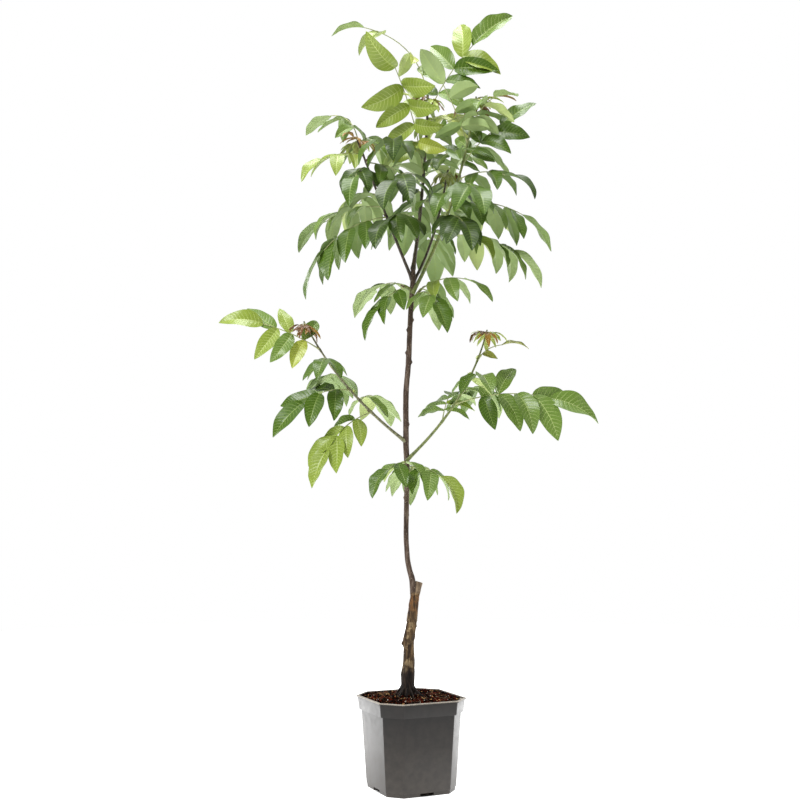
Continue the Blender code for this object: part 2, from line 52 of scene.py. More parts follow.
# %% [markdown]
# ## Small helpers
# A colour is written as the hex code that a paint program shows, and turned to linear light once,
# here. One function adds any shader node with its settings and links. A flat grid rolled round a
# row of rings makes every tube in the tree, from the trunk to the thinnest stalk, because a grid
# keeps its points in order and the two sewn edges leave no seam.


# %% Helpers
def linear(code):
    """A hex colour as linear red, green, blue and full opacity."""
    shares = [int(code[i:i + 2], 16) / 255 for i in (1, 3, 5)]
    return [s / 12.92 if s <= 0.04045 else ((s + 0.055) / 1.055) ** 2.4 for s in shares] + [1.0]


def add_node(tree, kind, inputs=None, stops=(), **settings):
    """Add a node, set its properties and a ramp's stops, and fill its inputs or link them."""
    made = tree.nodes.new(kind)
    for key, value in settings.items():
        setattr(made, key, value)
    for key, value in (inputs or {}).items():
        if isinstance(value, bpy.types.NodeSocket):
            tree.links.new(value, made.inputs[key])
        else:
            made.inputs[key].default_value = value
    if stops:
        row = made.color_ramp.elements
        while len(row) < len(stops):
            row.new(0.5)
        for element, (position, colour) in zip(row, stops):
            element.position = position
            element.color = linear(colour)
    return made


def new_material(name):
    """A new material with its node tree and its Principled shader."""
    made = bpy.data.materials.new(name)
    made.use_nodes = True
    return made, made.node_tree, made.node_tree.nodes["Principled BSDF"]


def rolled(body, rings):
    """Roll a grid round a row of rings, sew its edge, close its ends, and return its points."""
    rows, sides = len(rings) - 1, len(rings[0])
    made = bmesh.ops.create_grid(body, x_segments=rows, y_segments=sides, size=1)["verts"]
    for vert in made:
        row = round((vert.co.x + 1) / 2 * rows)
        side = round((vert.co.y + 1) / 2 * sides)
        vert.co = rings[row][side % sides]
    bmesh.ops.remove_doubles(body, verts=made, dist=1e-7)
    made = [vert for vert in made if vert.is_valid]
    edges = {edge for vert in made for edge in vert.link_edges}
    bmesh.ops.holes_fill(body, edges=list(edges), sides=0)
    faces = {face for vert in made for face in vert.link_faces}
    bmesh.ops.recalc_face_normals(body, faces=list(faces))
    return made


def add_piece(name, body, materials, slot, *nodes, sharp=40):
    """Make a finished bmesh a piece of the tree, which rides on the root and replaces solids."""
    mesh = bpy.data.meshes.new(name)
    body.to_mesh(mesh)
    body.free()
    mesh.shade_smooth()
    mesh.set_sharp_from_angle(angle=math.radians(sharp))
    for material in materials:
        mesh.materials.append(material)
    piece = bpy.data.objects.new(name, mesh)
    bpy.context.scene.collection.objects.link(piece)
    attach(piece, "root")
    if nodes:
        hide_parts(*nodes)
    print(name, "has", len(mesh.polygons), "faces")


print("mid grey is", round(linear("#808080")[0], 3), "in linear light")

# %% [markdown]
# ## Camera
# The picture was taken with a short telephoto from about two and a half metres, at half the
# tree's height and tipped up a little, so the pot's rim shows from above and the crown from
# below. A lens shift would show the same, but a tip is one number and needs no second one.

# %% Camera
CAMERA_PLACE = (-0.0228, -2.5045, 0.5765)
CAMERA_TIP = math.radians(5.19)
FOCAL_MM, SENSOR_MM = 53.28, 36.0

camera = bpy.data.objects.new("camera", bpy.data.cameras.new("camera"))
camera.data.lens, camera.data.sensor_width = FOCAL_MM, SENSOR_MM
camera.location = CAMERA_PLACE
camera.rotation_euler = (math.pi / 2 + CAMERA_TIP, 0, 0)
bpy.context.scene.collection.objects.link(camera)
bpy.context.scene.camera = camera
print("camera", FOCAL_MM, "mm at", CAMERA_PLACE)

# %% [markdown]
# ## Studio
# The tree stands in an over-lit white studio. The air is bright overhead and behind it and dimmer
# on the viewer's side, so leaves get light edges and keep a deep green towards the viewer, as in
# a shop's catalogue picture. White walls would do the same with more bounces and more noise, so
# the world itself glows. The camera sees it as plain white from every side.

# %% Studio air
FRONT_AIR, BACK_AIR, TOP_AIR = 0.16, 1.00, 0.70
# Where the air brightens: shares of a direction that point away from the viewer, and up
AWAY_FROM, AWAY_TO = -0.10, 0.75
UP_FROM, UP_TO = 0.35, 0.90

world = bpy.data.worlds.new("studio_air")
world.use_nodes = True
bpy.context.scene.world = world
air = world.node_tree
looking = add_node(air, "ShaderNodeTexCoord").outputs["Generated"]
parts = add_node(air, "ShaderNodeSeparateXYZ", {"Vector": looking})
depth = add_node(air, "ShaderNodeMapRange", {
    "Value": parts.outputs["Y"], "From Min": AWAY_FROM, "From Max": AWAY_TO,
    "To Min": FRONT_AIR, "To Max": BACK_AIR}, interpolation_type="SMOOTHSTEP")
above = add_node(air, "ShaderNodeMapRange", {
    "Value": parts.outputs["Z"], "From Min": UP_FROM, "From Max": UP_TO,
    "To Min": 0.0, "To Max": TOP_AIR}, interpolation_type="SMOOTHSTEP")
glow = add_node(air, "ShaderNodeMath", {0: depth.outputs["Result"], 1: above.outputs["Result"]},
                operation="MAXIMUM")
seen = add_node(air, "ShaderNodeLightPath").outputs["Is Camera Ray"]
strength = add_node(air, "ShaderNodeMath", {0: glow.outputs["Value"], 1: seen},
                    operation="MAXIMUM")
air.links.new(strength.outputs["Value"], air.nodes["Background"].inputs["Strength"])
air.nodes["Background"].inputs["Color"].default_value = linear("#ffffff")
bpy.context.scene.view_settings.view_transform = "Standard"
print("air from", FRONT_AIR, "in front to", BACK_AIR, "behind")

# %% [markdown]
# The lamps are large and soft: a key high on the left, a weak fill on the right, one overhead, and
# two behind the tree that draw its bright edges. None of them shows in the picture itself.

# %% Lamps
LAMPS = {
    # name: place, side in metres, watts
    "key": ((-1.9, -2.3, 2.9), 1.1, 100),
    "right_fill": ((2.6, -1.6, 1.6), 1.6, 8),
    "overhead": ((0.0, 0.1, 3.6), 1.6, 84),
    "rear_left": ((-2.2, 2.1, 1.3), 1.8, 48),
    "rear_right": ((2.2, 2.0, 1.3), 1.8, 48),
}
AIM = Vector((0, 0, 0.9))

for name, (place, side, watts) in LAMPS.items():
    lamp = bpy.data.objects.new(name, bpy.data.lights.new(name, "AREA"))
    lamp.data.size = side
    lamp.data.energy = watts
    lamp.location = place
    lamp.rotation_euler = (AIM - Vector(place)).to_track_quat("-Z", "Y").to_euler()
    lamp.visible_camera = False
    bpy.context.scene.collection.objects.link(lamp)
print("studio with", len(LAMPS), "lamps")

# %% [markdown]
# The floor is a wide matt disc. A studio floor is lit until it burns out to white, most of all
# behind the subject, and satin plastic mirrors that light on the faces that are seen edge on. A
# glow of the paint stands for the burnt-out light, with two brighter pools behind the pot. It also
# lights the leaves from below with less noise than light that the floor would only pass on.

# %% Floor
FLOOR_RADIUS = 3.6
FLOOR_GLOW = 1.45
# Far from the pot the floor glows as bright as the wall of air behind it
FAR_GLOW, FAR_FROM, FAR_TO = 0.75, 1.7, 3.3
# Nothing glows inside this radius under the pot, and the glow returns over the second length
FOOTPRINT, FOOTPRINT_EDGE = 0.080, 0.008
# The floor lies a hair under the pot, so that their faces don't share a place
FLOOR_DROP = 0.0005
# Each pool: centre, reach and strength
POOLS = (
    ((-0.50, 0.52, 0.0), 0.80, 4.2),
    ((0.52, 0.50, 0.0), 0.80, 4.0),
    # The small third pool, in front of the pot, is a painted reflection for the pot's front faces
    ((0.13, -0.15, 0.0), 0.22, 0.5),
)

paint, tree, shader = new_material("matt_white_studio_paint")
place = add_node(tree, "ShaderNodeTexCoord").outputs["Object"]
pool_glow = 0.0
for centre, reach, power in POOLS:
    away = add_node(tree, "ShaderNodeVectorMath", {0: place, 1: centre}, operation="DISTANCE")
    pool = add_node(tree, "ShaderNodeMapRange", {
        "Value": away.outputs["Value"], "From Min": 0.0, "From Max": reach,
        "To Min": power, "To Max": 0.0}, interpolation_type="SMOOTHSTEP")
    pool_glow = add_node(tree, "ShaderNodeMath", {0: pool.outputs["Result"], 1: pool_glow},
                         operation="ADD").outputs["Value"]
# The pools show in what mirrors them and don't burn out the leaves above them
mirrored = add_node(tree, "ShaderNodeLightPath").outputs["Is Glossy Ray"]
total_glow = add_node(tree, "ShaderNodeMath", {0: pool_glow, 1: mirrored, 2: FLOOR_GLOW},
                      operation="MULTIPLY_ADD").outputs["Value"]
centre_gap = add_node(tree, "ShaderNodeVectorMath", {0: place}, operation="LENGTH").outputs["Value"]
far = add_node(tree, "ShaderNodeMapRange", {
    "Value": centre_gap, "From Min": FAR_FROM, "From Max": FAR_TO,
    "To Min": 0.0, "To Max": FAR_GLOW}, interpolation_type="SMOOTHSTEP")
total_glow = add_node(tree, "ShaderNodeMath", {0: far.outputs["Result"], 1: total_glow},
                      operation="ADD").outputs["Value"]
# No glow under the pot: a painted shadow, which makes the drain slots look black
bare = add_node(tree, "ShaderNodeMapRange", {
    "Value": centre_gap, "From Min": FOOTPRINT - FOOTPRINT_EDGE, "From Max": FOOTPRINT,
    "To Min": 0.0, "To Max": 1.0})
total_glow = add_node(tree, "ShaderNodeMath", {0: bare.outputs["Result"], 1: total_glow},
                      operation="MULTIPLY").outputs["Value"]
tree.links.new(total_glow, shader.inputs["Emission Strength"])
shader.inputs["Emission Color"].default_value = linear("#ffffff")
# The floor is so wide that rays find its glow by themselves, which gives less noise
paint.cycles.emission_sampling = "NONE"
shader.inputs["Base Color"].default_value = linear("#8b8b8a")
shader.inputs["Roughness"].default_value = 0.9
floor_body = bmesh.new()
bmesh.ops.create_circle(floor_body, cap_ends=True, segments=96, radius=FLOOR_RADIUS)
floor_mesh = bpy.data.meshes.new("studio_floor")
floor_body.to_mesh(floor_mesh)
floor_body.free()
floor_mesh.materials.append(paint)
floor = bpy.data.objects.new("studio_floor", floor_mesh)
floor.location.z = -FLOOR_DROP
bpy.context.scene.collection.objects.link(floor)
print("floor of", FLOOR_RADIUS, "metres radius")

# %% [markdown]
# ## The pot
# A nursery pot of this kind is moulded in one go from recycled black polypropylene: a square with
# its corners cut, tapering to a foot with drain slots, a stiff collar round the top, and a thin
# lip to lift it by. Its outline follows eight straight sides with small rounded corners, so a
# formula gives each ring, a grid is rolled round the rings from the inner floor over the lip to
# the foot, and four blocks are cut out of the foot's edge for the drain slots.

# %% Pot sizes
# Solids that touch keep this gap
GAP = 0.0003
# The pot is turned by this many degrees against the front view
POT_TURN = 24.0
POT_HEIGHT = 0.187
RIM_SIDE, RIM_CUT = 0.198, 0.0375
FOOT_SIDE, FOOT_CUT = 0.157, 0.0274
WALL, FLOOR = 0.0022, 0.0030
LIP_OUT, LIP_HEIGHT = 0.0030, 0.0035
COLLAR_HEIGHT, COLLAR_STEP = 0.029, 0.0076
STEP_HEIGHT = 0.004
# How much of the collar's step the wall has made up by half the pot's height
WALL_SHARE = 0.57
FOOT_STEP = 0.0008
PLINTH_HEIGHT, PLINTH_STEP = 0.0085, 0.0012
DRAIN_WIDTH, DRAIN_HEIGHT, DRAIN_DEPTH = 0.030, 0.0065, 0.012
SOIL_TOP = POT_HEIGHT - 0.0045
CORNER_RADIUS, CORNER_STEPS = 0.0035, 4
EDGE = 0.0006
# The lip's top slopes down to its outer edge by this much
LIP_SLOPE = 0.0020


def pot_ring(height, out):
    """The pot's outline at a height, moved out or in, with its eight corners rounded."""
    share = height / POT_HEIGHT
    half = (FOOT_SIDE + (RIM_SIDE - FOOT_SIDE) * share) / 2
    cut = FOOT_CUT + (RIM_CUT - FOOT_CUT) * share
    reach = (half + out - CORNER_RADIUS,
             (2 * half - cut) / math.sqrt(2) + out - CORNER_RADIUS)
    ring = []
    for k in range(8):
        low, high = (math.radians(POT_TURN + 45 * (k + i)) for i in (0, 1))
        first, second = reach[k % 2], reach[(k + 1) % 2]
        # The corner's centre lies where the two sides meet, both moved in by the radius
        lean = math.cos(math.pi / 4)
        a, b = ((first - second * lean) * 2, (second - first * lean) * 2)
        centre = Vector((a * math.cos(low) + b * math.cos(high),
                         a * math.sin(low) + b * math.sin(high), height))
        for step in range(CORNER_STEPS + 1):
            angle = low + (high - low) * step / CORNER_STEPS
            ring.append(centre + Vector((math.cos(angle), math.sin(angle), 0)) * CORNER_RADIUS)
    return ring


print("pot", RIM_SIDE, "wide at the rim and", FOOT_SIDE, "at the foot")

# %% Model the pot
COLLAR_LOW = POT_HEIGHT - COLLAR_HEIGHT
LIP_LOW = POT_HEIGHT - LIP_HEIGHT
POT_STATIONS = (
    (FLOOR, -FOOT_STEP - WALL - EDGE),
    (FLOOR + EDGE, -FOOT_STEP - WALL),
    (COLLAR_LOW, -COLLAR_STEP - WALL),
    (COLLAR_LOW + STEP_HEIGHT, -LIP_OUT - WALL),
    (POT_HEIGHT - EDGE, -LIP_OUT - WALL),
    (POT_HEIGHT, -LIP_OUT - WALL + EDGE),
    # The lip's top slopes outwards in four short steps
    (POT_HEIGHT - LIP_SLOPE * 0.15, -LIP_OUT - EDGE),
    (POT_HEIGHT - LIP_SLOPE * 0.40, -LIP_OUT * 0.60),
    (POT_HEIGHT - LIP_SLOPE * 0.70, -LIP_OUT * 0.16),
    (POT_HEIGHT - LIP_SLOPE, 0.0),
    (LIP_LOW + EDGE / 2, 0.0),
    (LIP_LOW, -EDGE),
    (LIP_LOW, -LIP_OUT + EDGE),
    (LIP_LOW - EDGE, -LIP_OUT),
    (COLLAR_LOW + EDGE, -LIP_OUT),
    (COLLAR_LOW, -LIP_OUT - EDGE / 2),
    (COLLAR_LOW - EDGE, -COLLAR_STEP),
    (POT_HEIGHT * 0.5, (COLLAR_STEP - FOOT_STEP) * -WALL_SHARE - FOOT_STEP),
    (PLINTH_HEIGHT + EDGE, -FOOT_STEP),
    (PLINTH_HEIGHT, -FOOT_STEP - EDGE / 2),
    (PLINTH_HEIGHT - EDGE, -PLINTH_STEP - EDGE),
    (EDGE, -PLINTH_STEP - EDGE),
    (0.0, -PLINTH_STEP - 2 * EDGE),
)
pot_body = bmesh.new()
rolled(pot_body, [pot_ring(*station) for station in POT_STATIONS])
pot_mesh = bpy.data.meshes.new("pot_blank")
pot_body.to_mesh(pot_mesh)
pot_body.free()
pot_blank = bpy.data.objects.new("pot_blank", pot_mesh)
bpy.context.scene.collection.objects.link(pot_blank)


def cut_away(thing, body):
    """Cut a bmesh out of an object, apply the cut, and drop the cutter."""
    mesh = bpy.data.meshes.new("cutter")
    body.to_mesh(mesh)
    body.free()
    cutter = bpy.data.objects.new("cutter", mesh)
    bpy.context.scene.collection.objects.link(cutter)
    change = thing.modifiers.new("cut", "BOOLEAN")
    change.object, change.operation, change.solver = cutter, "DIFFERENCE", "EXACT"
    graph = bpy.context.evaluated_depsgraph_get()
    result = bpy.data.meshes.new_from_object(thing.evaluated_get(graph))
    thing.modifiers.clear()
    thing.data = result
    bpy.data.objects.remove(cutter)


slots = bmesh.new()
for quarter in range(4):
    block = bmesh.ops.create_cube(slots, size=1.0)["verts"]
    bmesh.ops.scale(slots, vec=(DRAIN_WIDTH, 2 * DRAIN_DEPTH, 2 * DRAIN_HEIGHT), verts=block)
    bmesh.ops.translate(slots, vec=(0, FOOT_SIDE / 2, 0), verts=block)
    turn = Quaternion((0, 0, 1), math.radians(POT_TURN + 90 * quarter)).to_matrix()
    bmesh.ops.rotate(slots, cent=(0, 0, 0), matrix=turn, verts=block)
cut_away(pot_blank, slots)
print("pot outline has", len(POT_STATIONS), "rings")

# %% [markdown]
# The plastic is recycled, so its black is a warm dark grey with faint clouds, and the mould leaves
# a satin skin. Towards the foot it is painted a lighter grey, a painted reflection of the bright
# floor, and a painted highlight runs along the top of the lip. A picture of worn plastic could be
# wrapped round it, but noise has no seam and no fixed size. Polypropylene has an index of
# refraction near 1.49. A roughness of about 0.4 spreads the studio's reflections into the soft grey
# sheets that show on the pot's sides.

# %% Pot plastic
CLOUD_WIDTH, GRAIN_WIDTH = 0.014, 0.0012
# Where the painted floor reflection starts to lighten the plastic, and where it is full
FLOOR_SHEEN_TOP, FLOOR_SHEEN_FULL = 0.150, 0.010
# The painted highlight along the lip's top edge, as depths under the rim
LIP_HIGHLIGHT_FROM, LIP_HIGHLIGHT_FULL = 0.0026, 0.0012

pot_plastic, tree, shader = new_material("black_polypropylene_moulded")
place = add_node(tree, "ShaderNodeTexCoord").outputs["Object"]
height = add_node(tree, "ShaderNodeSeparateXYZ", {"Vector": place}).outputs["Z"]
clouds = add_node(tree, "ShaderNodeTexNoise", {"Vector": place, "Scale": 1 / CLOUD_WIDTH,
                                              "Detail": 5.0})
fine = add_node(tree, "ShaderNodeTexNoise", {"Vector": place, "Scale": 1 / GRAIN_WIDTH,
                                            "Detail": 3.0})
base_plastic = add_node(tree, "ShaderNodeValToRGB", {"Fac": clouds.outputs["Fac"]},
                 stops=((0.35, "#13100e"), (0.65, "#1c1816"))).outputs["Color"]
# The lighter grey towards the foot is a painted reflection of the bright floor
painted_floor_sheen = add_node(tree, "ShaderNodeValToRGB", {"Fac": clouds.outputs["Fac"]},
                 stops=((0.35, "#312d29"), (0.65, "#3d3833"))).outputs["Color"]
near_foot = add_node(tree, "ShaderNodeMapRange", {"Value": height, "From Min": FLOOR_SHEEN_TOP,
                                                 "From Max": FLOOR_SHEEN_FULL}).outputs["Result"]
# A Mix node's colours are its sockets 6 and 7, and the mixed colour is its output 2
plastic = add_node(tree, "ShaderNodeMix", {0: near_foot, 6: base_plastic, 7: painted_floor_sheen},
                   data_type="RGBA").outputs[2]
# A painted highlight, light grey and broken by fine noise, lies along the lip's top and outer edge
painted_lip_highlight = add_node(tree, "ShaderNodeValToRGB", {"Fac": fine.outputs["Fac"]},
                   stops=((0.40, "#6f675e"), (0.62, "#b9b0a4"))).outputs["Color"]
on_lip = add_node(tree, "ShaderNodeMapRange", {
    "Value": height, "From Min": POT_HEIGHT - LIP_HIGHLIGHT_FROM,
    "From Max": POT_HEIGHT - LIP_HIGHLIGHT_FULL}).outputs["Result"]
plastic = add_node(tree, "ShaderNodeMix", {0: on_lip, 6: plastic, 7: painted_lip_highlight},
                   data_type="RGBA").outputs[2]
tree.links.new(plastic, shader.inputs["Base Color"])
satin = add_node(tree, "ShaderNodeMapRange", {"Value": clouds.outputs["Fac"], "To Min": 0.30,
                                             "To Max": 0.50})
tree.links.new(satin.outputs["Result"], shader.inputs["Roughness"])
skin = add_node(tree, "ShaderNodeBump", {"Height": fine.outputs["Fac"], "Strength": 0.12,
                                        "Distance": 0.0002})
tree.links.new(skin.outputs["Normal"], shader.inputs["Normal"])
shader.inputs["IOR"].default_value = 1.49
shader.inputs["Specular IOR Level"].default_value = 0.32

pot_body = bmesh.new()
pot_body.from_mesh(pot_blank.data)
bpy.data.objects.remove(pot_blank)
add_piece("pot_shell", pot_body, [pot_plastic], "pot_plastic", "pot", sharp=30)

# %% [markdown]
# ## The potting mix
# The pot is filled to the rim with composted bark and coconut fibre. A flat lid with a bump would
# look painted from the side, so the bed is a fine grid, cut to the pot's eight sides with planes,
# lifted into clumps by noise, and closed down to the floor by extruding its rim.

# %% Soil bed
BED_STEP, BED_WIDTH = 0.0022, RIM_SIDE * 1.3
BED_INSET = LIP_OUT + WALL + GAP
# Clumps: their width, how high they rise, and how much the bed is lifted over the filling's top
CLUMP_WIDTH, CLUMP_RISE, BED_LIFT = 0.010, 0.0031, 0.0012
# The noise's roughness, its step from one layer to the next, and its layers
CLUMP_FRACTAL = (0.7, 2.1, 4)
# The mix is heaped a little round the trunk
MOUND, MOUND_REACH, TRUNK_FOOT = 0.0050, 0.080, Vector((-0.010, 0, 0))
# The bed's rim keeps clear of the collar, and its foot is drawn in further
RIM_CLEAR, FOOT_CLEAR = 0.0008, 0.002


def soil_height(x, y):
    """The height of the bed at a point, clumpy and a little higher round the trunk."""
    clumps = noise.fractal(Vector((x, y, 0)) / CLUMP_WIDTH, *CLUMP_FRACTAL)
    middle = max(0.0, 1 - math.hypot(x - TRUNK_FOOT.x, y) / MOUND_REACH)
    return SOIL_TOP + BED_LIFT + CLUMP_RISE * clumps + MOUND * middle


bed = bmesh.new()
count = round(BED_WIDTH / BED_STEP)
bmesh.ops.create_grid(bed, x_segments=count, y_segments=count, size=BED_WIDTH / 2)
for k in range(8):
    angle = math.radians(POT_TURN + 45 * k)
    normal = Vector((math.cos(angle), math.sin(angle), 0))
    reach = max(normal.dot(point) for point in pot_ring(SOIL_TOP, -BED_INSET - RIM_CLEAR))
    bmesh.ops.bisect_plane(bed, geom=bed.verts[:] + bed.edges[:] + bed.faces[:], dist=1e-6,
                           plane_co=normal * reach, plane_no=normal, clear_outer=True)
for vert in bed.verts:
    vert.co.z = soil_height(vert.co.x, vert.co.y)


def half_inside(height, inset):
    """Half the pot's width at a height, less an inset."""
    return (FOOT_SIDE + (RIM_SIDE - FOOT_SIDE) * height / POT_HEIGHT) / 2 - inset


# The bed's rim is pulled down along the inside of the collar, in over its step, and to the floor
width = half_inside(SOIL_TOP, BED_INSET)
for height, inset in ((COLLAR_LOW + STEP_HEIGHT, BED_INSET), (COLLAR_LOW, COLLAR_STEP + WALL + GAP),
                      (FLOOR + GAP, FOOT_STEP + WALL + FOOT_CLEAR)):
    rim = [edge for edge in bed.edges if edge.is_boundary]
    wall = bmesh.ops.extrude_edge_only(bed, edges=rim)["geom"]
    shrink = half_inside(height, inset) / width
    width = half_inside(height, inset)
    for vert in wall:
        if isinstance(vert, bmesh.types.BMVert):
            vert.co = Vector((vert.co.x * shrink, vert.co.y * shrink, height))
bmesh.ops.holes_fill(bed, edges=[edge for edge in bed.edges if edge.is_boundary], sides=0)
bmesh.ops.recalc_face_normals(bed, faces=bed.faces)
print("soil bed has", len(bed.faces), "faces")

# %% [markdown]
# Moist bark mix is almost black with a red-brown cast where the light grazes it. Two noises, one
# as wide as a crumb and one as fine as dust, vary its colour, and a strong bump breaks up what
# little shine it has.

# %% Soil finish
CRUMB_WIDTH, DUST_WIDTH = 0.004, 0.0009

potting_mix, tree, shader = new_material("moist_composted_bark_mix")
place = add_node(tree, "ShaderNodeTexCoord").outputs["Object"]
crumbs = add_node(tree, "ShaderNodeTexNoise", {"Vector": place, "Scale": 1 / CRUMB_WIDTH,
                                              "Detail": 6.0})
moist = add_node(tree, "ShaderNodeValToRGB", {"Fac": crumbs.outputs["Fac"]},
                 stops=((0.38, "#050201"), (0.68, "#1a0a05")))
tree.links.new(moist.outputs["Color"], shader.inputs["Base Color"])
dust = add_node(tree, "ShaderNodeTexNoise", {"Vector": place, "Scale": 1 / DUST_WIDTH,
                                            "Detail": 4.0})
grit = add_node(tree, "ShaderNodeBump", {"Height": dust.outputs["Fac"], "Strength": 0.9,
                                        "Distance": 0.0010})
tree.links.new(grit.outputs["Normal"], shader.inputs["Normal"])
shader.inputs["Roughness"].default_value = 0.93
shader.inputs["Specular IOR Level"].default_value = 0.0
add_piece("soil_bed", bed, [potting_mix], "potting_mix", "soil", sharp=60)

# %% [markdown]
# ## Chips and fibres
# What makes a potting mix read as one is its coarse part: bark chips, chunks of coconut husk,
# white grains of perlite and short curled fibres. Particles could scatter them, but a loop that
# copies a few shapes leaves one plain mesh. Each shape is a jittered icosphere pressed flat, so a
# thousand chips cost only a few faces each.

# %% Chips
CHIP_KINDS = (
    # name, colour, roughness, how many, least and most size
    ("bark_chip_dark", "#0f0402", 0.75, 620, 0.0030, 0.0105),
    ("bark_chip_red", "#4e1808", 0.75, 520, 0.0028, 0.0100),
    ("husk_chunk_tan", "#b98f60", 0.80, 200, 0.0026, 0.0070),
    ("perlite_grain_white", "#efe7d8", 0.70, 120, 0.0018, 0.0044),
)
CHIP_SHAPES = 8
# How far a chip's corners move in and out, how narrow it is, and how flat
CHIP_JITTER, CHIP_NARROW, CHIP_FLAT = (0.65, 1.15), (0.55, 0.75), 0.38
# Small chips outnumber large ones by this power, and each sits up by a share of its size
CHIP_POWER, CHIP_SIT, CHIP_TIP = 1.8, 0.16, 0.8
BED_REACH, TRUNK_CLEAR = 0.11, 0.014
CHIP_MARGIN, FIBRE_MARGIN = 0.004, 0.006
PORE_WIDTH = 0.0006
chip_rng = random.Random("chips")


def chip_shapes():
    """A few flat angular chips of unit size."""
    shapes = []
    for _ in range(CHIP_SHAPES):
        body = bmesh.new()
        bmesh.ops.create_icosphere(body, subdivisions=1, radius=0.5)
        for vert in body.verts:
            vert.co *= chip_rng.uniform(*CHIP_JITTER)
            vert.co.y *= chip_rng.uniform(*CHIP_NARROW)
            vert.co.z *= CHIP_FLAT
        bmesh.ops.recalc_face_normals(body, faces=body.faces)
        mesh = bpy.data.meshes.new("chip")
        body.to_mesh(mesh)
        body.free()
        shapes.append(mesh)
    return shapes


def soil_spot(margin):
    """A random place on the bed, inside the pot and clear of the trunk."""
    outline = pot_ring(SOIL_TOP, -BED_INSET - margin)
    normals = [Vector((math.cos(a), math.sin(a), 0)) for a in
               (math.radians(POT_TURN + 45 * k) for k in range(8))]
    reach = [max(n.dot(point) for point in outline) for n in normals]
    while True:
        x, y = (chip_rng.uniform(-BED_REACH, BED_REACH) for _ in range(2))
        spot = Vector((x, y, 0))
        inside = all(n.dot(spot) < r for n, r in zip(normals, reach))
        if inside and (spot - TRUNK_FOOT).length > TRUNK_CLEAR:
            spot.z = soil_height(spot.x, spot.y)
            return spot


def add_copy(body, mesh, place, turn, size, slot):
    """Append a mesh, turned, scaled and moved to its place, in one of the materials."""
    start = len(body.verts)
    body.from_mesh(mesh)
    body.verts.ensure_lookup_table()
    made = body.verts[start:]
    for vert in made:
        vert.co = place + turn @ (vert.co * size)
    for face in {face for vert in made for face in vert.link_faces}:
        face.material_index = slot


# Every kind is dull and porous, so the eye tells them apart by colour and size alone
chips = bmesh.new()
chip_materials = []
shapes = chip_shapes()
for slot, (name, colour, rough, many, least, most) in enumerate(CHIP_KINDS):
    material, tree, shader = new_material(name)
    place = add_node(tree, "ShaderNodeTexCoord").outputs["Object"]
    pores = add_node(tree, "ShaderNodeTexNoise", {"Vector": place, "Scale": 1 / PORE_WIDTH})
    relief = add_node(tree, "ShaderNodeBump", {"Height": pores.outputs["Fac"], "Strength": 0.6,
                                              "Distance": 0.0005})
    tree.links.new(relief.outputs["Normal"], shader.inputs["Normal"])
    shader.inputs["Base Color"].default_value = linear(colour)
    shader.inputs["Roughness"].default_value = rough
    shader.inputs["Specular IOR Level"].default_value = 0.03
    chip_materials.append(material)
    for _ in range(many):
        size = least + (most - least) * chip_rng.random() ** CHIP_POWER
        spin = Quaternion((0, 0, 1), chip_rng.uniform(0, 2 * math.pi))
        tip = Quaternion((1, 0, 0), chip_rng.gauss(0, CHIP_TIP))
        spot = soil_spot(CHIP_MARGIN) + Vector((0, 0, size * CHIP_SIT))
        add_copy(chips, chip_rng.choice(shapes), spot, spin @ tip, size, slot)
add_piece("soil_chips", chips, chip_materials, "potting_mix", sharp=20)
for mesh in shapes:
    bpy.data.meshes.remove(mesh)

# %% [markdown]
# Coconut fibres are thin, wiry and pale brown. A curve object with a bevel would make each one,
# but then a hundred objects would need joining. Instead each is a short curve from one spot on the
# bed to another, bowed up a little, with a three-sided tube rolled along it.

# %% Fibres
FIBRES = 110
FIBRE_LENGTH, FIBRE_RADIUS = (0.008, 0.026), 0.00022
FIBRE_BOW, FIBRE_STEPS, FIBRE_SIDES = 0.004, 6, 3
# How high a fibre and its far end lie over the bed
FIBRE_LIFT, FIBRE_END_LIFT = 0.0006, 0.0004
# A fibre that would end past this line is folded back towards the middle
FIBRE_LIMIT, FOLD_BACK = 0.075, 0.6
# Dry fibre is matt and straw brown, and shows as fine pale scratches on the dark mix
fibre, tree, shader = new_material("coconut_fibre_dry")
shader.inputs["Base Color"].default_value = linear("#6a4a2e")
shader.inputs["Roughness"].default_value = 0.8


def tube_rings(path, sides, start_flat=False):
    """Rings square to a path of points with radii, turned as little as possible along it."""
    rings = []
    side = Vector((1, 0, 0))
    for i, (point, radius) in enumerate(path):
        before, after = path[max(i - 1, 0)][0], path[min(i + 1, len(path) - 1)][0]
        along = (after - before).normalized()
        if i == 0 and start_flat:
            along = Vector((0, 0, 1))
        side = (side - along * side.dot(along)).normalized()
        up = along.cross(side)
        turns = [2 * math.pi * k / sides for k in range(sides)]
        rings.append([point + (side * math.cos(a) + up * math.sin(a)) * radius for a in turns])
    return rings


fibres = bmesh.new()
for _ in range(FIBRES):
    start = soil_spot(FIBRE_MARGIN)
    heading = chip_rng.uniform(0, 2 * math.pi)
    reach = chip_rng.uniform(*FIBRE_LENGTH)
    end = start + Vector((math.cos(heading), math.sin(heading), 0)) * reach
    if max(abs(end.x), abs(end.y)) > FIBRE_LIMIT:
        end = start * FOLD_BACK
    end.z = soil_height(end.x, end.y) + FIBRE_END_LIFT
    x, y = (chip_rng.gauss(0, FIBRE_BOW) for _ in range(2))
    bow = (start + end) / 2 + Vector((x, y, FIBRE_BOW))
    path = []
    for step in range(FIBRE_STEPS + 1):
        t = step / FIBRE_STEPS
        point = start * (1 - t) ** 2 + bow * 2 * t * (1 - t) + end * t**2
        path.append((point + Vector((0, 0, FIBRE_LIFT)), FIBRE_RADIUS))
    rolled(fibres, tube_rings(path, FIBRE_SIDES))
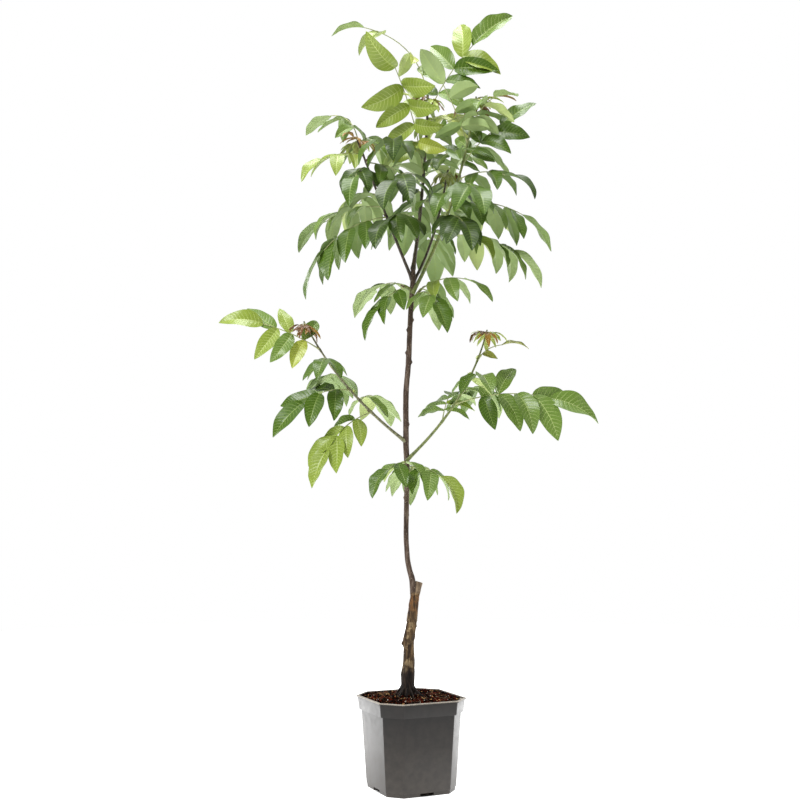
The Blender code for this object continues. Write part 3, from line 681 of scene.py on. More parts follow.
add_piece("soil_fibres", fibres, [fibre], "potting_mix")

# %% [markdown]
# ## The tree's plan
# The tree grows by one rule. Each shoot is a smooth curve. Its leaves leave it at set shares of
# its length, and each leaf is a bowed stalk with pairs of leaflets that get longer towards its
# end, and a single one at the tip. Seeded randomness gives each leaflet its own angle and size.
# The numbers are the solids' own, so each leaflet grows where its solid is.

# %% Shoots
FORK = Vector((0.005, 0.000, 1.085))

# A shoot is one smooth curve from base to tip. Its bough is the part below its first leaf
# (the split, as a share of the whole), and the rest is the stem of its foliage.
Shoot = namedtuple("Shoot", "bough foliage base knee tip split thick thin")
SHOOTS = (
    Shoot("left_bough", "left_foliage", (0.004, 0, 1.062), (-0.044, -0.010, 1.173),
          (-0.115, -0.040, 1.362), 0.45, 0.0072, 0.0036),
    Shoot("leader_bough", "top_foliage", FORK, (0.030, 0.010, 1.250),
          (0.039, 0.030, 1.480), 0.16, 0.0088, 0.0036),
    Shoot("back_bough", "back_foliage", (0.005, 0, 1.057), (0.055, 0.030, 1.145),
          (0.085, 0.100, 1.332), 0.40, 0.0072, 0.0036),
    Shoot("right_bough", "right_foliage", (0.003, 0, 1.033), (0.101, -0.030, 1.203),
          (0.139, -0.060, 1.445), 0.26, 0.0084, 0.0036),
    Shoot("low_left_bough", "low_left_foliage", (-0.010, 0, 0.715), (-0.150, -0.020, 0.820),
          (-0.226, -0.030, 0.968), 0.20, 0.0068, 0.0032),
    Shoot("low_right_bough", "low_right_foliage", (-0.010, 0, 0.675), (0.125, 0, 0.800),
          (0.164, 0.010, 0.956), 0.24, 0.0068, 0.0032),
)
# Spurs are short stems that carry foliage straight on the trunk
SPURS = (
    Shoot(None, "fork_left_foliage", (0.002, 0, 1.040), (-0.006, 0, 1.046),
          (-0.014, -0.003, 1.048), 0, 0.0048, 0.0036),
    Shoot(None, "fork_right_foliage", (0.002, 0, 1.016), (0.012, -0.002, 1.030),
          (0.023, -0.006, 1.042), 0, 0.0048, 0.0036),
    Shoot(None, "under_foliage", (-0.008, 0, 0.640), (0.000, -0.006, 0.655),
          (0.006, -0.014, 0.664), 0, 0.0048, 0.0036),
)

print("shoots:", ", ".join(shoot.foliage for shoot in SHOOTS + SPURS))

# %% Leaves
# The leaves of each foliage. along is the place on the shoot as a share of its length, heading
# and rise point the stalk from its base to its end, length is the straight distance between
# them, size scales its leaflets, roll turns the blade's plane about the stalk, arch bows the
# stalk upwards and hang says how far the leaflets droop.
Leaf = namedtuple("Leaf", "along heading rise length size roll arch hang")
LEAVES = {
    "left_foliage": (
        (0.51, 190, -30, 0.155, 1.12, 0, 0.6, 1.7),
        (0.58, 158, -8, 0.135, 0.95, 0, 0.5, 0.9),
        (0.64, 112, 8, 0.130, 1.00, 0, 0.6, 0.9),
        (0.72, 50, 38, 0.105, 1.00, 0, 0.5, 0.9),
        (0.80, 255, -20, 0.110, 0.90, 0, 0.7, 1.2),
        (0.86, 340, -25, 0.110, 0.90, 0, 0.4, 1.0),
        (0.90, 215, -15, 0.100, 0.85, -20, 0.5, 0.7),
        (0.95, 75, 25, 0.100, 0.95, 0, 0.6, 0.9),
        (0.98, 140, 42, 0.110, 0.85, 0, 1.0, 0.9),
    ),
    "top_foliage": (
        (0.30, 240, -8, 0.125, 1.00, 0, 0.6, 1.1),
        (0.35, 100, 5, 0.135, 1.00, 0, 0.6, 1.0),
        (0.41, 300, -4, 0.120, 1.00, 0, 0.5, 0.9),
        (0.46, 160, 30, 0.095, 0.95, 0, 0.5, 0.9),
        (0.53, 246, -12, 0.150, 0.95, 0, 0.7, 1.1),
        (0.57, 228, 67, 0.235, 0.92, 200, 0.35, 0.8),
        (0.61, 315, 8, 0.120, 0.95, 15, 0.4, 0.5),
        (0.67, 222, 6, 0.125, 0.95, 0, 0.8, 1.0),
        (0.72, 112, 15, 0.135, 1.00, 0, 0.7, 0.9),
        (0.79, 345, 20, 0.110, 0.95, 0, 0.5, 0.7),
        (0.84, 60, 24, 0.120, 1.00, 0, 0.6, 0.7),
        (0.89, 0, 58, 0.190, 1.05, 70, 0.25, 0.45),
        (0.93, 130, 32, 0.110, 0.90, 0, 0.5, 0.7),
        (0.97, 196, 46, 0.210, 0.70, 0, 1.15, 0.9),
    ),
    "back_foliage": (
        (0.52, 88, -2, 0.150, 1.00, 0, 0.7, 1.1),
        (0.64, 30, 14, 0.120, 1.00, 0, 0.6, 0.9),
        (0.72, 120, 10, 0.150, 1.00, 0, 0.7, 1.0),
        (0.84, 75, 15, 0.150, 1.00, 0, 0.7, 0.8),
        (0.91, 108, 32, 0.120, 0.95, 0, 0.6, 0.7),
        (0.98, 50, 42, 0.130, 0.95, 30, 0.4, 0.4),
    ),
    "right_foliage": (
        (0.33, 12, -8, 0.165, 1.00, 0, 0.5, 1.2),
        (0.40, 285, -12, 0.130, 0.95, 0, 0.6, 1.1),
        (0.49, 4, -6, 0.155, 1.00, 0, 0.6, 1.4),
        (0.55, 284, -10, 0.145, 0.95, 0, 0.6, 1.0),
        (0.62, 330, -3, 0.110, 0.95, 10, 0.6, 0.8),
        (0.69, 0, 47, 0.120, 0.95, 60, 0.25, 0.25),
        (0.74, 68, 15, 0.135, 1.00, 0, 0.6, 0.8),
        (0.79, 226, 55, 0.135, 0.90, 30, 0.2, 0.5),
        (0.86, 300, 24, 0.100, 0.90, 0, 0.6, 0.8),
        (0.93, 5, 40, 0.055, 0.60, 20, 0.6, 0.7),
    ),
    "low_left_foliage": (
        (0.28, 205, -38, 0.125, 0.95, -35, 0.5, 0.9),
        (0.38, 70, 5, 0.110, 1.00, 0, 0.6, 0.9),
        (0.47, 196, -16, 0.105, 1.05, -50, 0.6, 0.6),
        (0.55, 112, 6, 0.120, 1.00, 0, 0.6, 0.9),
        (0.66, 262, 2, 0.090, 0.85, 0, 0.6, 0.9),
        (0.79, 186, 24, 0.132, 0.95, -72, 0.25, 0.6),
    ),
    "low_right_foliage": (
        (0.32, 78, 32, 0.125, 0.90, 0, 0.4, 0.5),
        (0.45, 0, 4, 0.205, 1.06, 65, 0.45, 0.55),
        (0.52, 62, 8, 0.130, 1.00, 0, 0.6, 0.8),
        (0.60, 285, 6, 0.100, 0.90, 0, 0.6, 0.9),
        (0.78, 10, 33, 0.065, 0.70, 20, 0.7, 0.5),
    ),
    "fork_left_foliage": (
        (0.70, 203, -36, 0.075, 0.95, -10, 0.5, 0.9),
        (0.98, 128, 4, 0.105, 1.00, 0, 0.6, 0.9),
    ),
    "fork_right_foliage": (
        (0.60, 295, -20, 0.095, 0.95, 0, 0.6, 0.8),
        (0.82, 75, 0, 0.110, 1.00, 0, 0.6, 0.9),
        (0.98, 335, 8, 0.100, 0.90, 10, 0.6, 1.1),
    ),
    "under_foliage": (
        (0.60, 90, -4, 0.120, 1.00, 0, 0.6, 0.9),
        (0.80, 312, -14, 0.085, 1.00, 0, 0.5, 1.5),
        (0.98, 238, -6, 0.100, 0.90, 0, 0.6, 1.0),
    ),
}
# Each shoot's tip bears a tuft of young leaves
TUFT_LEAFLETS, TUFT_LENGTH = 5, 0.046
TUFT_HANG = (0.3, 1.1)
TUFT_SIZES = (0.75, 1.15)
TUFT_PLACE, TUFT_RISE = 0.985, 0.5
GOLDEN_ANGLE = 137.5

# Leaves have more pairs of leaflets the longer they are
PAIRS_BY_LENGTH = ((0.07, 1), (0.115, 2), (0.16, 3), (1.0, 4))
BARE_STALK = 0.30
LEAFLET_BASE, LEAFLET_GROWTH = 0.076, 0.16
LEAFLET_WIDTH = 0.46
FIRST_PAIR_SIZE = 0.62
PAIR_SHIFT = 0.0018
PAIR_ANGLE_LOW, PAIR_ANGLE_HIGH = 72.0, 48.0
CAMBER = 0.10
# Leaflets turn their upper sides to the sky by this much
TURN_UP = 0.15
STALK_THICK, STALK_THIN = 0.0026, 0.0018
STALK_BOW = 0.35
# How much chance each leaflet gets: degrees of angle and tilt, shares of droop and length
WOBBLE, TILT_WOBBLE = 9.0, 13.5
HANG_WOBBLE, END_HANG_WOBBLE, LEAST_HANG = 0.15, 0.10, 0.05
LENGTH_WOBBLE = 0.07


def curve_point(shoot, share):
    """The point at this share of a shoot's curve."""
    base, knee, tip = Vector(shoot.base), Vector(shoot.knee), Vector(shoot.tip)
    return base * (1 - share) ** 2 + knee * 2 * share * (1 - share) + tip * share**2


def thickness(shoot, share):
    """How thick a shoot is at this share of its curve."""
    return shoot.thick + (shoot.thin - shoot.thick) * share


def lasting(direction, fallback):
    """A unit vector, or the fallback where the direction has no length."""
    return direction.normalized() if direction.length > 1e-6 else fallback


def droop(direction, face, amount):
    """Let a leaflet sink from its set direction, turning its face with it."""
    sunk = (direction - Vector((0, 0, amount))).normalized()
    return sunk, direction.rotation_difference(sunk) @ face


def stalk_frame(leaf, base):
    """The leaf stalk's curve as three points, and the direction that its upper side faces."""
    heading, rise = math.radians(leaf.heading), math.radians(leaf.rise)
    chord = Vector((math.cos(heading) * math.cos(rise), math.sin(heading) * math.cos(rise),
                    math.sin(rise)))
    up = lasting(Vector((0, 0, 1)) - chord * chord.z, Vector((1, 0, 0)))
    face = Quaternion(chord, math.radians(leaf.roll)) @ up
    end = base + chord * leaf.length
    knee = base + chord * leaf.length * 0.5 + up * leaf.length * STALK_BOW * leaf.arch
    return Shoot(None, None, base, knee, end, 0, STALK_THICK, STALK_THIN), face


def leaf_plan(leaf, base, rng):
    """Where a leaf's leaflets stand: rows of root, direction, face and length."""
    stalk, face = stalk_frame(leaf, base)
    pairs = next(count for limit, count in PAIRS_BY_LENGTH if leaf.length <= limit)
    full = (LEAFLET_BASE + LEAFLET_GROWTH * leaf.length) * leaf.size
    rows = []
    for i in range(pairs + 1):
        share = BARE_STALK + (1 - BARE_STALK) * i / pairs if i < pairs else 1.0
        root = curve_point(stalk, share)
        along = (curve_point(stalk, share) - curve_point(stalk, share - 0.05)).normalized()
        side = along.cross(face).normalized()
        upper = (side.cross(along) + Vector((0, 0, TURN_UP))).normalized()
        size = full * (FIRST_PAIR_SIZE + (1 - FIRST_PAIR_SIZE) * (i + 1) / (pairs + 1))
        if i == pairs:
            hang = leaf.hang * 0.5 + rng.uniform(-END_HANG_WOBBLE, END_HANG_WOBBLE)
            rows.append((root, *droop(along, upper, hang), full))
            break
        open_to = PAIR_ANGLE_LOW + (PAIR_ANGLE_HIGH - PAIR_ANGLE_LOW) * i / max(pairs - 1, 1)
        for hand in (-1, 1):
            spot = root + along * PAIR_SHIFT * hand
            angle = math.radians(open_to + rng.uniform(-WOBBLE, WOBBLE))
            out = along * math.cos(angle) + side * hand * math.sin(angle)
            tilt = Quaternion(out, math.radians(rng.uniform(-TILT_WOBBLE, TILT_WOBBLE)))
            hang = max(LEAST_HANG, leaf.hang + rng.uniform(-HANG_WOBBLE, HANG_WOBBLE))
            length = size * (1 + rng.uniform(-LENGTH_WOBBLE, LENGTH_WOBBLE))
            rows.append((spot, *droop(out, tilt @ upper, hang), length))
    return stalk, rows


def tuft_plan(shoot, rng):
    """The young leaflets at a shoot's tip, hanging round it like a small umbrella."""
    rows = []
    first = rng.uniform(0, 360)
    for i in range(TUFT_LEAFLETS):
        heading = math.radians(first + GOLDEN_ANGLE * i)
        out = Vector((math.cos(heading), math.sin(heading), TUFT_RISE)).normalized()
        hang = rng.uniform(*TUFT_HANG)
        face = lasting(Vector((0, 0, 1)) - out * out.z, Vector((1, 0, 0)))
        length = TUFT_LENGTH * rng.uniform(*TUFT_SIZES)
        root = curve_point(shoot, TUFT_PLACE)
        rows.append((root, *droop(out, face, hang), length))
    return rows


print("plan of", sum(len(rows) for rows in LEAVES.values()), "leaves on",
      len(SHOOTS) + len(SPURS), "shoots and spurs")

# %% [markdown]
# ## The trunk
# The tree is grafted: a rough, thick rootstock with a knot low down, cut off above the graft, and
# a smoother scion that leaves it at the side and becomes the stem. Both are tubes with one ring
# every few millimetres. They are joined by a Boolean union, so that no inner wall is left, and
# the bark's relief is then pushed into the joined surface: long plates and furrows low down,
# finer streaks above, and the knobs of old leaf scars.

# %% Trunk bark relief
ROOTSTOCK = (
    (SOIL_TOP + GAP, -0.0070, 0.000, 0.0300),
    (0.205, -0.0066, 0.001, 0.0284),
    (0.230, -0.0062, 0.002, 0.0290),
    (0.251, -0.0045, 0.002, 0.0256),
    (0.279, -0.0042, 0.001, 0.0236),
    (0.297, -0.0050, 0.000, 0.0240),
    (0.314, -0.0024, -0.001, 0.0236),
    (0.345, 0.0026, -0.001, 0.0220),
    (0.384, 0.0072, -0.001, 0.0190),
    (0.406, 0.0130, 0.000, 0.0170),
    (0.421, 0.0175, 0.001, 0.0150),
)
SCION = (
    (0.385, 0.0045, -0.002, 0.0124),
    (0.411, 0.0042, -0.003, 0.0136),
    (0.426, 0.0028, -0.003, 0.0126),
    (0.436, 0.0004, -0.003, 0.0118),
    (0.446, -0.0026, -0.003, 0.0113),
    (0.467, -0.0068, -0.002, 0.0110),
    (0.488, -0.0085, -0.001, 0.0106),
    (0.530, -0.0100, -0.001, 0.0106),
    (0.650, -0.008, 0.002, 0.0116),
    (0.715, -0.010, 0.001, 0.0122),
    (0.817, -0.010, 0.000, 0.0118),
    (0.866, -0.006, 0.000, 0.0116),
    (0.900, -0.004, 0.001, 0.0118),
    (0.991, 0.000, 0.002, 0.0108),
    (1.062, 0.005, 0.000, 0.0112),
    (1.085, 0.005, 0.000, 0.0092),
)
BARK_SIDES, BARK_STEP = 64, 0.0022
FLARE_LOBES, FLARE_SHARE, FLARE_HEIGHT = 5, 0.20, 0.030
FLARE_LEAST = 0.4
GRAFT_LOW, GRAFT_HIGH = 0.400, 0.440
# Streaks and plates: their widths, and how much they are drawn out along the stem
STREAK_WIDTH, STREAK_STRETCH = 0.0045, 0.22
PLATE_WIDTH, PLATE_STRETCH = 0.011, 0.45
FURROW_SHARE = 0.2
# How far furrows and plates stand out on old bark, and streaks and plates on young bark
OLD_FURROW, OLD_PLATE = 0.0006, 0.0010
YOUNG_STREAK, YOUNG_PLATE = 0.00022, 0.0003
PLATE_FRACTAL = (1.0, 2.0, 3)
# Each root: heading, how far it reaches, its thickness at the trunk
ROOTS = (
    (338, 0.058, 0.0062),
    (285, 0.044, 0.0050),
    (240, 0.052, 0.0060),
    (195, 0.040, 0.0044),
    (150, 0.050, 0.0056),
    (100, 0.044, 0.0050),
    (48, 0.054, 0.0060),
)
ROOTLETS = 16
ROOTLET_REACH, ROOTLET_THICK = (0.026, 0.050), 0.0012
# Roots and rootlets drop from the foot by these powers, and have this many sides
ROOT_FALL, ROOT_SIDES = 3.0, 12
ROOTLET_FALL, ROOTLET_SIDES = 2.4, 6
ROOT_TOP, ROOT_TOP_JITTER = 0.210, (-0.006, 0.010)
ROOT_STEPS, ROOT_START, ROOT_SWAY, ROOT_WAVES = 16, 0.009, 0.010, 3.6
# A root lies this high on the soil at first, dives by the second length, and tapers by the share
ROOT_LIFT, ROOT_DIVE, ROOT_TAPER = 0.004, 0.010, 0.6
# The foot goes on under the soil's surface, a little wider
FOOT_SPREAD, FOOT_SINK = 1.06, 0.008
STUB_TOP = Vector((0.0175, 0.001, 0.421))
# The cut face is shrunk and lifted in steps: a rim of bark, bare wood, the hollow of the pith
STUB_STEPS = ((0.86, 0.0004), (0.22, 0.0002), (0.80, -0.0024))
# Leaf scars and shoot knobs on the stem: height, heading, how far each stands out, its radius
KNOBS = (
    (0.975, 350, 0.0030, 0.0050),
    (0.955, 190, 0.0026, 0.0045),
    (0.905, 200, 0.0030, 0.0050),
    (0.885, 10, 0.0028, 0.0050),
    (0.842, 95, 0.0024, 0.0045),
    (0.790, 265, 0.0018, 0.0040),
    (0.752, 20, 0.0022, 0.0045),
    (0.598, 170, 0.0018, 0.0040),
    (0.560, 40, 0.0016, 0.0040),
    (0.505, 285, 0.0014, 0.0040),
    (0.294, 196, 0.0036, 0.0060),
    (0.330, 330, 0.0022, 0.0060),
    (0.228, 60, 0.0020, 0.0060),
)


def smooth_path(stations, step):
    """Points about a step apart on a smooth curve through the stations, each with its radius."""
    path = []
    last = len(stations) - 1
    for i in range(last):
        p0, p1, p2, p3 = (Vector(stations[min(max(k, 0), last)]) for k in range(i - 1, i + 3))
        count = max(1, round((p2[0] - p1[0]) / step))
        for k in range(count):
            t = k / count
            path.append(
                (p1 * 2 + (p2 - p0) * t + (p0 * 2 - p1 * 5 + p2 * 4 - p3) * t**2
                 + (p1 * 3 - p0 - p2 * 3 + p3) * t**3) * 0.5
            )
    path.append(Vector(stations[-1]))
    return [(Vector((p[1], p[2], p[0])), p[3] / 2) for p in path]


def flared(rings, path):
    """Spread the lowest rings into a few root lobes that fade out above the soil."""
    ground = path[0][0].z
    for ring, (centre, _) in zip(rings, path):
        fade = max(0.0, 1 - (centre.z - ground) / FLARE_HEIGHT) ** 2
        for k, point in enumerate(ring):
            lobe = 0.5 + 0.5 * math.cos(FLARE_LOBES * 2 * math.pi * k / len(ring))
            ring[k] = centre + (point - centre) * (1 + FLARE_SHARE * fade * (FLARE_LEAST + lobe))
            ring[k].z = point.z
    return rings


def bark_height(point):
    """How far the bark stands out at a point: plates and furrows below, fine streaks above."""
    old = min(1.0, max(0.0, (GRAFT_HIGH - point.z) / (GRAFT_HIGH - GRAFT_LOW)))
    streak = noise.noise(Vector((point.x, point.y, point.z * STREAK_STRETCH)) / STREAK_WIDTH)
    spot = Vector((point.x, point.y, point.z * PLATE_STRETCH)) / PLATE_WIDTH
    plate = noise.fractal(spot, *PLATE_FRACTAL)
    furrow = -max(0.0, 1 - abs(streak) / FURROW_SHARE)
    rough = OLD_FURROW * furrow + OLD_PLATE * plate
    fine = YOUNG_STREAK * streak + YOUNG_PLATE * plate
    return old * rough + (1 - old) * fine


print(len(ROOTS), "roots,", ROOTLETS, "rootlets and", len(KNOBS), "knobs")

# %% Model the trunk
stock_path = smooth_path(ROOTSTOCK, BARK_STEP)
foot = stock_path[0][0]
stock_rings = flared(tube_rings(stock_path, BARK_SIDES, start_flat=True), stock_path)
root_ring = [Vector((foot.x, foot.y, 0)) + (p - foot) * FOOT_SPREAD for p in stock_rings[0]]
for point in root_ring:
    point.z = SOIL_TOP - FOOT_SINK
scion_path = smooth_path(SCION, BARK_STEP)
joined = []
for name, rings in (("stock", [root_ring, *stock_rings]),
                    ("scion", tube_rings(scion_path, BARK_SIDES))):
    body = bmesh.new()
    rolled(body, rings)
    mesh = bpy.data.meshes.new(name)
    body.to_mesh(mesh)
    body.free()
    joined.append(bpy.data.objects.new(name, mesh))
    bpy.context.scene.collection.objects.link(joined[-1])
stock, scion = joined
union = stock.modifiers.new("graft", "BOOLEAN")
union.object, union.operation, union.solver = scion, "UNION", "EXACT"
graph = bpy.context.evaluated_depsgraph_get()
trunk = bmesh.new()
trunk.from_mesh(bpy.data.meshes.new_from_object(stock.evaluated_get(graph)))
for thing in joined:
    bpy.data.objects.remove(thing)
bmesh.ops.remove_doubles(trunk, verts=trunk.verts, dist=1e-6)
bmesh.ops.recalc_face_normals(trunk, faces=trunk.faces)

lean = (stock_path[-1][0] - stock_path[-2][0]).normalized()
end = min(trunk.faces, key=lambda face: (face.calc_center_median() - STUB_TOP).length)
wood = set()
for share, lift in STUB_STEPS:
    before = set(trunk.faces)
    made = bmesh.ops.extrude_discrete_faces(trunk, faces=[end])["faces"]
    end = made[0]
    middle = end.calc_center_median()
    for vert in end.verts:
        vert.co = middle + (vert.co - middle) * share + lean * lift
    if share < STUB_STEPS[0][0]:
        wood |= set(trunk.faces) - before
wood = {face for face in wood | {end} if face.is_valid}
for face in wood:
    face.material_index = 1

# Old roots run down the foot, bow over the soil and dive into it. Dry rootlets curl between them.
root_rng = random.Random("roots")
rows = [(*root, ROOT_FALL, ROOT_SIDES) for root in ROOTS]
for _ in range(ROOTLETS):
    heading, reach = root_rng.uniform(0, 360), root_rng.uniform(*ROOTLET_REACH)
    rows.append((heading, reach, ROOTLET_THICK, ROOTLET_FALL, ROOTLET_SIDES))
for heading, reach, thick, fall, sides in rows:
    angle = math.radians(heading)
    out = Vector((math.cos(angle), math.sin(angle), 0))
    side = Vector((-out.y, out.x, 0))
    sway = root_rng.uniform(-ROOT_SWAY, ROOT_SWAY)
    top = ROOT_TOP + root_rng.uniform(*ROOT_TOP_JITTER)
    path = []
    for step in range(ROOT_STEPS + 1):
        t = step / ROOT_STEPS
        point = foot + out * (ROOT_START + reach * t) + side * sway * math.sin(t * ROOT_WAVES)
        low = SOIL_TOP + ROOT_LIFT - ROOT_DIVE * t * t
        point.z = low + (top - SOIL_TOP - ROOT_LIFT) * (1 - t) ** fall
        path.append((point, thick / 2 * (1 - ROOT_TAPER * t)))
    rolled(trunk, tube_rings(path, sides))

# The bark's relief and the knobs are pushed out along the joined surface's normals, but the cut
# wood stays flat
knob_spots = []
for height, heading, out, wide in KNOBS:
    centre, radius = min(stock_path + scion_path, key=lambda item: abs(item[0].z - height))
    angle = math.radians(heading)
    spot = centre + Vector((math.cos(angle), math.sin(angle), 0)) * radius
    knob_spots.append((spot, out, wide))
trunk.normal_update()
kept = {vert for face in wood for vert in face.verts}
moves = {}
for vert in trunk.verts:
    if vert in kept:
        continue
    lift = bark_height(vert.co)
    for spot, out, wide in knob_spots:
        lift += out * math.exp(-((vert.co - spot).length_squared) / (wide * wide) * 2)
    moves[vert] = vert.normal * lift
for vert, move in moves.items():
    vert.co += move
print("trunk has", len(trunk.faces), "faces and", len(wood), "of cut wood")

# %% [markdown]
# Old walnut bark is grey-brown with pale flakes and dark furrows, stained orange round the graft,
# while the young stem above is a dark purple-brown with grey specks. One material does both: noise
# stretched along the stem draws the streaks, masks by height lay coats of colour over each other,
# and small Voronoi cells make the pale lenticels. An image of bark would need a seam somewhere,
# and a pattern in Object coordinates needs none.

# %% Bark finish
GRAIN_STRETCH = (1.0, 1.0, 0.16)
GRAIN_STREAK, FLAKE_WIDTH, SPECK_GAP = 0.0046, 0.016, 0.0042
# Heights on the trunk: where the damp foot starts and is full, the two ends of the orange stain,
# and where the scion's bark starts and is full
DAMP_TOP, DAMP_FULL = SOIL_TOP + 0.075, SOIL_TOP + 0.050
STAIN_IN, STAIN_OUT = (0.350, 0.372), (0.402, 0.385)
SCION_FROM, SCION_FULL = 0.396, 0.403
# The stub's dry bark lies above this height, on this side of the graft
STUB_FROM, STUB_FULL = 0.398, 0.403
STUB_SIDE_FROM, STUB_SIDE_FULL = 0.0088, 0.0112
BARK_COATS = (
    # mask, then the colours of the streaks from the furrows outwards
    ("stock", (0.34, "#1a1009"), (0.50, "#43321f"), (0.70, "#7c6445")),
    ("pale", (0.36, "#4a3924"), (0.62, "#a18b68")),
    ("stain", (0.36, "#302012"), (0.62, "#7a522b")),
    ("damp", (0.42, "#0c0706"), (0.72, "#3c2f26")),
    ("scion", (0.32, "#2c211b"), (0.52, "#4b3c32"), (0.70, "#6d5f53")),
    ("stub", (0.34, "#41332a"), (0.66, "#927e66")),
)
LENTICEL = "#93877a"

old_bark, tree, shader = new_material("walnut_bark_two_ages")
place = add_node(tree, "ShaderNodeTexCoord").outputs["Object"]
along = add_node(tree, "ShaderNodeVectorMath", {0: place, 1: GRAIN_STRETCH},
                 operation="MULTIPLY").outputs["Vector"]
streaks = add_node(tree, "ShaderNodeTexNoise", {
    "Vector": along, "Scale": 1 / GRAIN_STREAK, "Detail": 5.0, "Roughness": 0.6}).outputs["Fac"]
patches = add_node(tree, "ShaderNodeTexNoise", {
    "Vector": place, "Scale": 1 / FLAKE_WIDTH, "Detail": 4.0, "Roughness": 0.6}).outputs["Fac"]
specks = add_node(tree, "ShaderNodeTexVoronoi", {
    "Vector": place, "Scale": 1 / SPECK_GAP}).outputs["Distance"]
parts = add_node(tree, "ShaderNodeSeparateXYZ", {"Vector": place}).outputs
# Each mask rises from 0 to 1 while its value goes from the first number to the second
masks = {}
for name, value, low, high in (
        ("pale", patches, 0.54, 0.62),
        ("stain_in", parts["Z"], *STAIN_IN),
        ("stain_out", parts["Z"], *STAIN_OUT),
        ("blotch", patches, 0.45, 0.53),
        ("damp", parts["Z"], DAMP_TOP, DAMP_FULL),
        ("scion", parts["Z"], SCION_FROM, SCION_FULL),
        ("speck", specks, 0.20, 0.12),
        ("stub_side", parts["X"], STUB_SIDE_FROM, STUB_SIDE_FULL),
        ("stub_high", parts["Z"], STUB_FROM, STUB_FULL)):
    mask = add_node(tree, "ShaderNodeMapRange", {"Value": value, "From Min": low, "From Max": high})
    masks[name] = mask.outputs["Result"]
# The stain lies between two heights and only in blotches, and the stub is high on one side
for name, first, second in (("stain", "stain_in", "stain_out"), ("stain", "stain", "blotch"),
                            ("stub", "stub_side", "stub_high")):
    both = add_node(tree, "ShaderNodeMath", {0: masks[first], 1: masks[second]},
                    operation="MULTIPLY")
    masks[name] = both.outputs["Value"]
# Each coat of colour covers the one before it where its mask says
bark_colour = None
for name, *stops in BARK_COATS:
    coat = add_node(tree, "ShaderNodeValToRGB", {"Fac": streaks}, stops=stops).outputs["Color"]
    if name == "scion":
        coat = add_node(tree, "ShaderNodeMix", {0: masks["speck"], 6: coat, 7: linear(LENTICEL)},
                        data_type="RGBA").outputs[2]
    if bark_colour is not None:
        coat = add_node(tree, "ShaderNodeMix", {0: masks[name], 6: bark_colour, 7: coat},
                        data_type="RGBA").outputs[2]
    bark_colour = coat
tree.links.new(bark_colour, shader.inputs["Base Color"])
grain = add_node(tree, "ShaderNodeBump", {"Height": streaks, "Strength": 0.7,
                                         "Distance": 0.0006})
tree.links.new(grain.outputs["Normal"], shader.inputs["Normal"])
shader.inputs["Roughness"].default_value = 0.78
shader.inputs["Specular IOR Level"].default_value = 0.25

# The stub's cut face is grey-brown end grain. A distorted wave draws rings round its middle
RING_GAP = 0.012
cut_wood, tree, shader = new_material("cut_walnut_wood_weathered")
place = add_node(tree, "ShaderNodeTexCoord").outputs["Object"]
centred = add_node(tree, "ShaderNodeVectorMath", {0: place, 1: tuple(STUB_TOP)},
                   operation="SUBTRACT").outputs["Vector"]
years = add_node(tree, "ShaderNodeTexWave", {"Vector": centred, "Scale": 1 / RING_GAP,
                                            "Distortion": 2.0, "Detail": 2.0},
                 wave_type="RINGS", rings_direction="SPHERICAL")
end_grain = add_node(tree, "ShaderNodeValToRGB", {"Fac": years.outputs["Fac"]},
                     stops=((0.2, "#7d6c58"), (0.8, "#b3a48c")))
tree.links.new(end_grain.outputs["Color"], shader.inputs["Base Color"])
shader.inputs["Roughness"].default_value = 0.85
add_piece("trunk_bark", trunk, [old_bark, cut_wood], "old_bark", "trunk", sharp=60)

# %% [markdown]
# ## Young boughs
# A bough is a smooth green stem, or a dark one where its colour is painted shade inside the crown,
# thicker where it leaves the trunk and at each leaf. A curve with a bevel could taper it, but not
# swell at each leaf, so its rings are worked out one by one. It starts inside the trunk, so its
# collar swells out of the bark with no seam, and it ends inside the stem that carries its leaves.

# %% Bough finishes
YOUNG_BARKS = {
    # name, shaded colour, lit colour, colour of the lenticels
    # The dark bark is painted shade, a darker copy of the shoots' bark for those inside the crown
    "dark": ("walnut_shoot_bark_dark", "#2b2320", "#4d4034", "#8b8071"),
    "green": ("walnut_shoot_bark_green", "#4d5a2c", "#77803f", "#a5a56c"),
    "grey": ("walnut_shoot_bark_grey", "#53533a", "#7d7c5b", "#a8a482"),
}
BARK_CELL, PORE_GAP = 0.0050, 0.0034
shoot_barks = {}
for key, (name, deep, lit, dots) in YOUNG_BARKS.items():
    made, tree, shader = new_material(name)
    place = add_node(tree, "ShaderNodeTexCoord").outputs["Object"]
    cells = add_node(tree, "ShaderNodeTexNoise", {"Vector": place, "Scale": 1 / BARK_CELL,
                                                 "Detail": 4.0})
    skin = add_node(tree, "ShaderNodeValToRGB", {"Fac": cells.outputs["Fac"]},
                    stops=((0.35, deep), (0.65, lit)))
    pores = add_node(tree, "ShaderNodeTexVoronoi", {"Vector": place, "Scale": 1 / PORE_GAP})
    spots = add_node(tree, "ShaderNodeMapRange", {
        "Value": pores.outputs["Distance"], "From Min": 0.22, "From Max": 0.12}).outputs["Result"]
    dotted = add_node(tree, "ShaderNodeMix", {0: spots, 6: skin.outputs["Color"], 7: linear(dots)},
                      data_type="RGBA")
    tree.links.new(dotted.outputs[2], shader.inputs["Base Color"])
    warts = add_node(tree, "ShaderNodeBump", {"Height": spots, "Strength": 0.5,
                                             "Distance": 0.0003})
    tree.links.new(warts.outputs["Normal"], shader.inputs["Normal"])
    shader.inputs["Roughness"].default_value = 0.5
    shoot_barks[key] = made
